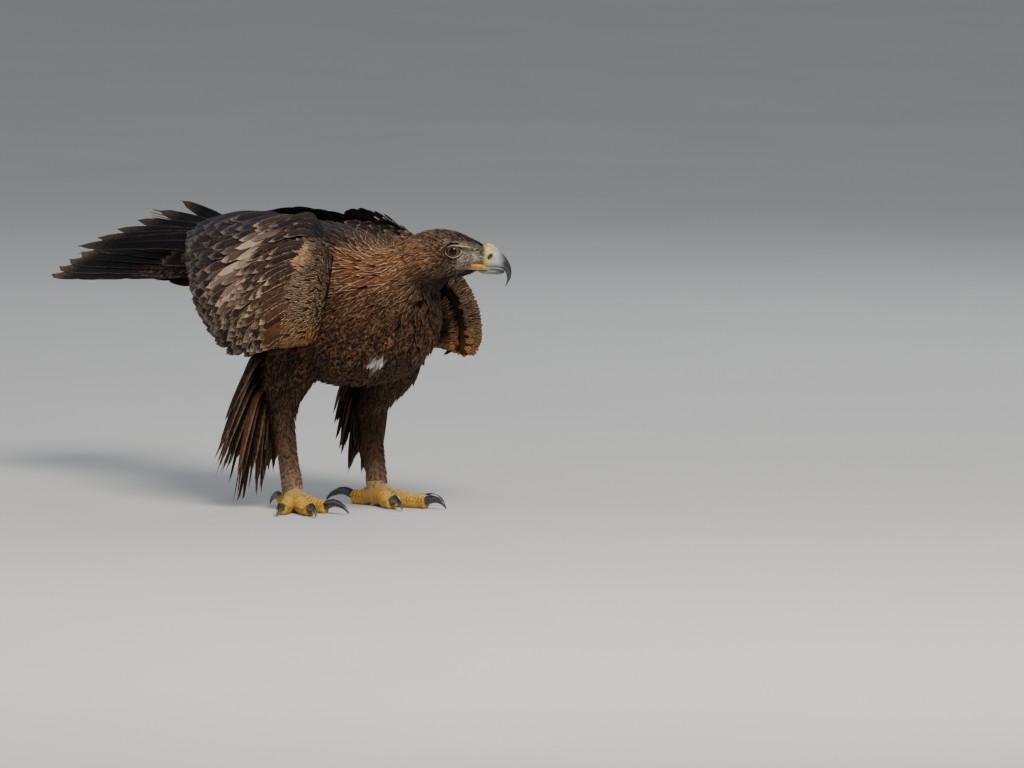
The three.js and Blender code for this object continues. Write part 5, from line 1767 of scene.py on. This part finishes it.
def make_bristles():
    """Hair-like bristles over the lores, between each eye and the cere."""
    h = from_head(body_points)
    chosen = (h[:, 0] > 12) & (h[:, 0] < 34) & (h[:, 2] < 5) & (h[:, 2] > -16) & (np.abs(h[:, 1]) > 8)
    index = np.full(len(body_points), -1)
    index[chosen] = np.arange(chosen.sum())
    faces = [[int(index[k]) for k in face] for face in body_faces if all(index[k] >= 0 for k in face)]
    points = body_points[chosen]
    mesh = make_mesh("lores_patch", points, faces)
    out = np.sign(h[chosen, 1:2]) * SIDE
    ahead = ease(21, 27, h[chosen, 0:1])
    comb = unit(mixed(-0.75, 0.8, ahead) * FORE + 0.42 * out + (0.03 * (h[chosen, 2:3] + 8)) * UP)
    layer = mesh.attributes.new("Comb", "FLOAT_VECTOR", "POINT")
    layer.data.foreach_set("vector", comb.astype(np.float32).ravel())
    finish = bristle_finish()
    tree, names = bristle_tree(finish)
    values = {names["Density"]: 700000.0, names["Length"]: 0.0062, names["Radius"]: 0.00013, names["Seed"]: 5}
    made = grow_nodes("bristles", mesh, tree, values, finish)
    show("bristles", made, finish, "plumage_brown")


make_bristles()


def scute_tree(material):
    """Broad scutes laid like shingles over the top of a toe, one at each point of its line."""
    inputs = [
        ["Count", "Int", 9],
        ["Radius", "Float", 0.008],
        ["Thickness", "Float", 0.0021],
        ["Taper", "Float", 0.92],
    ]
    tree, names = open_tree("Scutes", inputs)
    new, link = tree.nodes.new, tree.links.new
    given = new("NodeGroupInput")
    line = new("GeometryNodeMeshToCurve")
    link(given.outputs["Geometry"], line.inputs["Mesh"])
    spaced = new("GeometryNodeResampleCurve")
    link(line.outputs["Curve"], spaced.inputs["Curve"])
    link(given.outputs["Count"], spaced.inputs["Count"])
    arc = new("GeometryNodeCurveArc")
    arc.inputs["Resolution"].default_value = 12
    arc.inputs["Start Angle"].default_value = math.radians(18)
    arc.inputs["Sweep Angle"].default_value = math.radians(144)
    link(given.outputs["Radius"], arc.inputs["Radius"])
    bead = new("GeometryNodeCurvePrimitiveCircle")
    bead.inputs["Resolution"].default_value = 6
    link(given.outputs["Thickness"], bead.inputs["Radius"])
    swell = new("GeometryNodeSplineParameter")
    bulge = new("ShaderNodeMath")
    bulge.operation = "PINGPONG"
    link(swell.outputs["Factor"], bulge.inputs[0])
    bulge.inputs[1].default_value = 0.5
    full = new("ShaderNodeMath")
    full.operation = "MULTIPLY_ADD"
    link(bulge.outputs[0], full.inputs[0])
    full.inputs[1].default_value = 1.6
    full.inputs[2].default_value = 0.35
    thick = new("GeometryNodeSetCurveRadius")
    link(arc.outputs["Curve"], thick.inputs["Curve"])
    link(full.outputs[0], thick.inputs["Radius"])
    plate = new("GeometryNodeCurveToMesh")
    link(thick.outputs["Curve"], plate.inputs["Curve"])
    link(bead.outputs["Curve"], plate.inputs["Profile Curve"])
    plate.inputs["Fill Caps"].default_value = True
    link(full.outputs[0], plate.inputs["Scale"])
    turn = new("GeometryNodeInputTangent")
    point = new("FunctionNodeAlignRotationToVector")
    point.axis = "Z"
    link(turn.outputs["Tangent"], point.inputs["Vector"])
    level = new("FunctionNodeAlignRotationToVector")
    level.axis = "Y"
    level.pivot_axis = "Z"
    link(point.outputs["Rotation"], level.inputs["Rotation"])
    level.inputs["Vector"].default_value = (0, 0, 1)
    along = new("GeometryNodeSplineParameter")
    less = new("ShaderNodeMix")
    less.data_type = "FLOAT"
    link(along.outputs["Factor"], less.inputs[0])
    less.inputs[2].default_value = 1.0
    link(given.outputs["Taper"], less.inputs[3])
    put = new("GeometryNodeInstanceOnPoints")
    link(spaced.outputs["Curve"], put.inputs["Points"])
    link(plate.outputs["Mesh"], put.inputs["Instance"])
    link(level.outputs["Rotation"], put.inputs["Rotation"])
    link(less.outputs[0], put.inputs["Scale"])
    close_tree(tree, put.outputs["Instances"], material)
    return tree, names


# ---- feet and claws
KNUCKLES = {"inner": 2, "middle": 3, "outer": 4, "hind": 1}
SCUTE_COUNT = {"inner": 6, "middle": 10, "outer": 7, "hind": 5}
CREASE_PITCH = 4.6


def toe_point(way, turn, reach, up):
    """A place over a foot, at a reach from its hub in a heading."""
    heading = way * (FOOT_TURN + turn)
    hub = place(way * STANCE, 4, 0)
    ahead = np.array([math.sin(heading), -math.cos(heading), 0])
    spot = hub + ahead * reach
    spot[2] = up
    return spot


def toe_path(way, toe, n):
    turn, long = toe[0], toe[1]
    stations = [(0, 16), (0.3 * long, 11), (0.6 * long, 6.6), (0.85 * long, 5.8), (long, 6.2)]
    return between(np.array([toe_point(way, turn, r, u) for r, u in stations]), np.linspace(0, 1, n))


def foot_line(way, stations, n):
    """A line along the foot's own heading through (reach, up)."""
    return between(np.array([toe_point(way, 0, r, u) for r, u in stations]), np.linspace(0, 1, n))


def make_foot(way, tree, names):
    """A foot's flesh: knuckled toes with creases across them, their pad and the end of the shin."""
    side = SIDES[way]
    shells = []
    for name, toe in TOES.items():
        share = np.linspace(0, 1, 70)
        line = toe_path(way, toe, 70)
        bumps = 0.5 + 0.5 * np.cos(2 * np.pi * KNUCKLES[name] * np.clip((share - 0.2) / 0.72, 0, 1) + 0.6)
        radii = toe[2] * mixed(1.12, 0.78, ease(0.0, 0.95, share)) * (0.93 + 0.12 * bumps)
        radii = radii * mixed(1.0, 0.82, ease(0.93, 1.0, share))
        shells.append(skin_rings(tube_rings(line, radii, 30)))
    pad = foot_line(way, [(-11, 9.5), (-4, 11), (4, 12), (11, 11), (19, 9)], 20)
    radii = np.interp(np.linspace(0, 1, 20), [0, 0.25, 0.5, 0.75, 1], [7, 11.5, 13, 11.5, 7])
    shells.append(skin_rings(tube_rings(pad, radii, 28)))
    shin = foot_line(way, [(-3, 27), (-2.4, 20), (-1, 12)], 12)
    shells.append(skin_rings(tube_rings(shin, np.full(12, 10.6), 28, top=-AHEAD)))
    points, faces = flesh_out("foot_flesh", shells, 0.85, 4)
    points[:, 2] = np.where(points[:, 2] < 0.8, np.maximum(points[:, 2] * 0.5, 0.05), points[:, 2])
    hub = toe_point(way, 0, 0, 0)
    away = np.linalg.norm((points - hub)[:, :2], axis=1)
    tint = paint([(0, "caa75c"), (0.3, "d9aa3c"), (0.7, "deaf3a"), (1, "b98a2c")], away / 70)
    crease = ease(0.72, 1.0, np.cos(2 * np.pi * away / CREASE_PITCH))
    crease = crease * ease(13, 20, away) * ease(4.5, 8.5, points[:, 2])
    points[:, 2] -= 0.55 * crease
    tint = mixed(tint, linear(["5d3d18"])[0], 0.75 * crease[:, None])
    # painted light: the foot's upper parts are paler, as if lit from above
    high = ease(15, 25, points[:, 2])[:, None]
    tint = mixed(tint, linear(["b7a27a"])[0], 0.6 * high)
    # painted shade: the undersides are darker where they meet the floor
    under = ease(3.0, 0.3, points[:, 2])[:, None]
    tint = mixed(tint, linear(["8a6a34"])[0], 0.6 * under)
    name = "toes_" + side
    mesh = make_mesh(name, points, faces, colours={"tint": tint})
    show(name, mesh, TOE_SKIN, "skin_yellow", "foot_" + side)
    for name, toe in TOES.items():
        make_claw(way, side, name, toe)
        make_scutes(way, side, name, toe, tree, names)


def make_scutes(way, side, name, toe, tree, names):
    """The broad scutes along the top of a toe, grown on its line."""
    share = np.linspace(0, 1, 60)
    line = toe_path(way, toe, 60)[(share > 0.34) & (share < 0.96)]
    carrier = make_mesh("toe_line", line, [])
    carrier.edges.add(len(line) - 1)
    ends = np.stack([np.arange(len(line) - 1), np.arange(1, len(line))], -1)
    carrier.edges.foreach_set("vertices", ends.ravel())
    carrier.update()
    values = {
        names["Count"]: SCUTE_COUNT[name],
        names["Radius"]: toe[2] * 0.97 / 1000,
        names["Thickness"]: 0.0021,
        names["Taper"]: 0.92,
    }
    made = grow_nodes("scutes", carrier, tree, values, TOE_SKIN)
    give_colour(made, "tint", linear(["e2b648"]))
    made.shade_smooth()
    show(f"scutes_{name}_{side}", made, TOE_SKIN, "skin_yellow")


def make_claw(way, side, name, toe):
    turn, long, thick, claw, deep = toe
    stations = [
        (long - 6, 7),
        (long + 0.3 * claw, 7.4 + 0.3 * deep),
        (long + 0.68 * claw, 6.4 + 0.12 * deep),
        (long + 0.88 * claw, 0.9),
    ]
    path = np.array([toe_point(way, turn, r, u) for r, u in stations])
    share = np.linspace(0, 1, 44)
    line = between(path, share)
    radii = thick * np.interp(share, [0, 0.17, 0.33, 0.5, 0.67, 0.83, 0.97, 1],
                              [0.6, 0.6, 0.53, 0.42, 0.3, 0.17, 0.05, 0.02])
    rings = tube_rings(line, radii, 24)
    along = unit(np.gradient(line, axis=0))
    across = unit(np.cross(UP, along))
    local = rings - line[:, None]
    rings = rings - across[:, None] * (local * across[:, None]).sum(-1, keepdims=True) * 0.2
    points, faces = skin_rings(rings)
    points[:, 2] = np.maximum(points[:, 2], 0.1)
    piece = f"talon_{name}_{side}"
    show(piece, make_mesh(piece, points, faces), CLAW_HORN, "claw_black", f"claw_{name}_{side}")


scutes, scute_names = scute_tree(TOE_SKIN)
make_foot(-1, scutes, scute_names)
make_foot(1, scutes, scute_names)


# ---- studio
def floor_finish():
    f = Finish("Studio_floor", specular_ior_level=0.2)
    grain = f.noise(3.0, detail=2.0)
    return f.done(f.blend(grain, (0.60, 0.60, 0.59), (0.66, 0.66, 0.65)), 0.9)


def stand(name, data, spot, aim):
    """Puts a lamp or the camera at a spot, facing along aim."""
    holder = bpy.data.objects.new(name, data)
    holder.location = spot
    holder.rotation_euler = Vector(aim).to_track_quat("-Z", "Y").to_euler()
    bpy.context.scene.collection.objects.link(holder)
    return holder


def make_studio():
    """A plain pale floor, an even sky and three soft lamps."""
    reach = 90.0
    corners = [(-reach, -reach, 0), (reach, -reach, 0), (reach, reach, 0), (-reach, reach, 0)]
    mesh = bpy.data.meshes.new("floor")
    mesh.from_pydata(corners, [], [(0, 1, 2, 3)])
    floor = bpy.data.objects.new("floor", mesh)
    bpy.context.scene.collection.objects.link(floor)
    mesh.materials.append(floor_finish())
    world = bpy.data.worlds.new("Studio")
    world.use_nodes = True
    sky = world.node_tree.nodes["Background"]
    sky.inputs["Color"].default_value = (0.80, 0.84, 0.90, 1)
    sky.inputs["Strength"].default_value = 0.34
    bpy.context.scene.world = world
    lamps = [
        ("key", (-0.8, -2.4, 2.5), 1.3, 125, (1.0, 0.94, 0.86)),
        ("fill", (-2.8, 0.6, 1.4), 2.4, 18, (0.88, 0.93, 1.0)),
        ("rim", (2.2, 1.4, 2.0), 1.2, 22, (0.92, 0.95, 1.0)),
    ]
    for name, spot, size, power, colour in lamps:
        lamp = bpy.data.lights.new(name, "AREA")
        lamp.size = size
        lamp.energy = power
        lamp.color = colour
        stand(name, lamp, spot, np.array([0.0, 0.0, 0.2]) - np.array(spot))


def make_camera():
    """The photograph's viewing angle: from the bird's right and front, a little above its feet."""
    turn, lift, away, width = math.radians(-35), math.radians(5), 22.0, 1.096
    right = np.array([math.cos(turn), math.sin(turn), 0])
    up = np.array([-math.sin(turn) * math.sin(lift), math.cos(turn) * math.sin(lift), math.cos(lift)])
    back = np.array([math.sin(turn) * math.cos(lift), -math.cos(turn) * math.cos(lift), math.sin(lift)])
    target = ORIGIN + right * 0.1905 + up * 0.1327
    camera = bpy.data.cameras.new("camera")
    camera.sensor_width = 36
    camera.lens = 36 * away / width
    camera.clip_end = 200
    bpy.context.scene.camera = stand("camera", camera, target + back * away, -back)


make_studio()
make_camera()

bpy.context.view_layer.update()
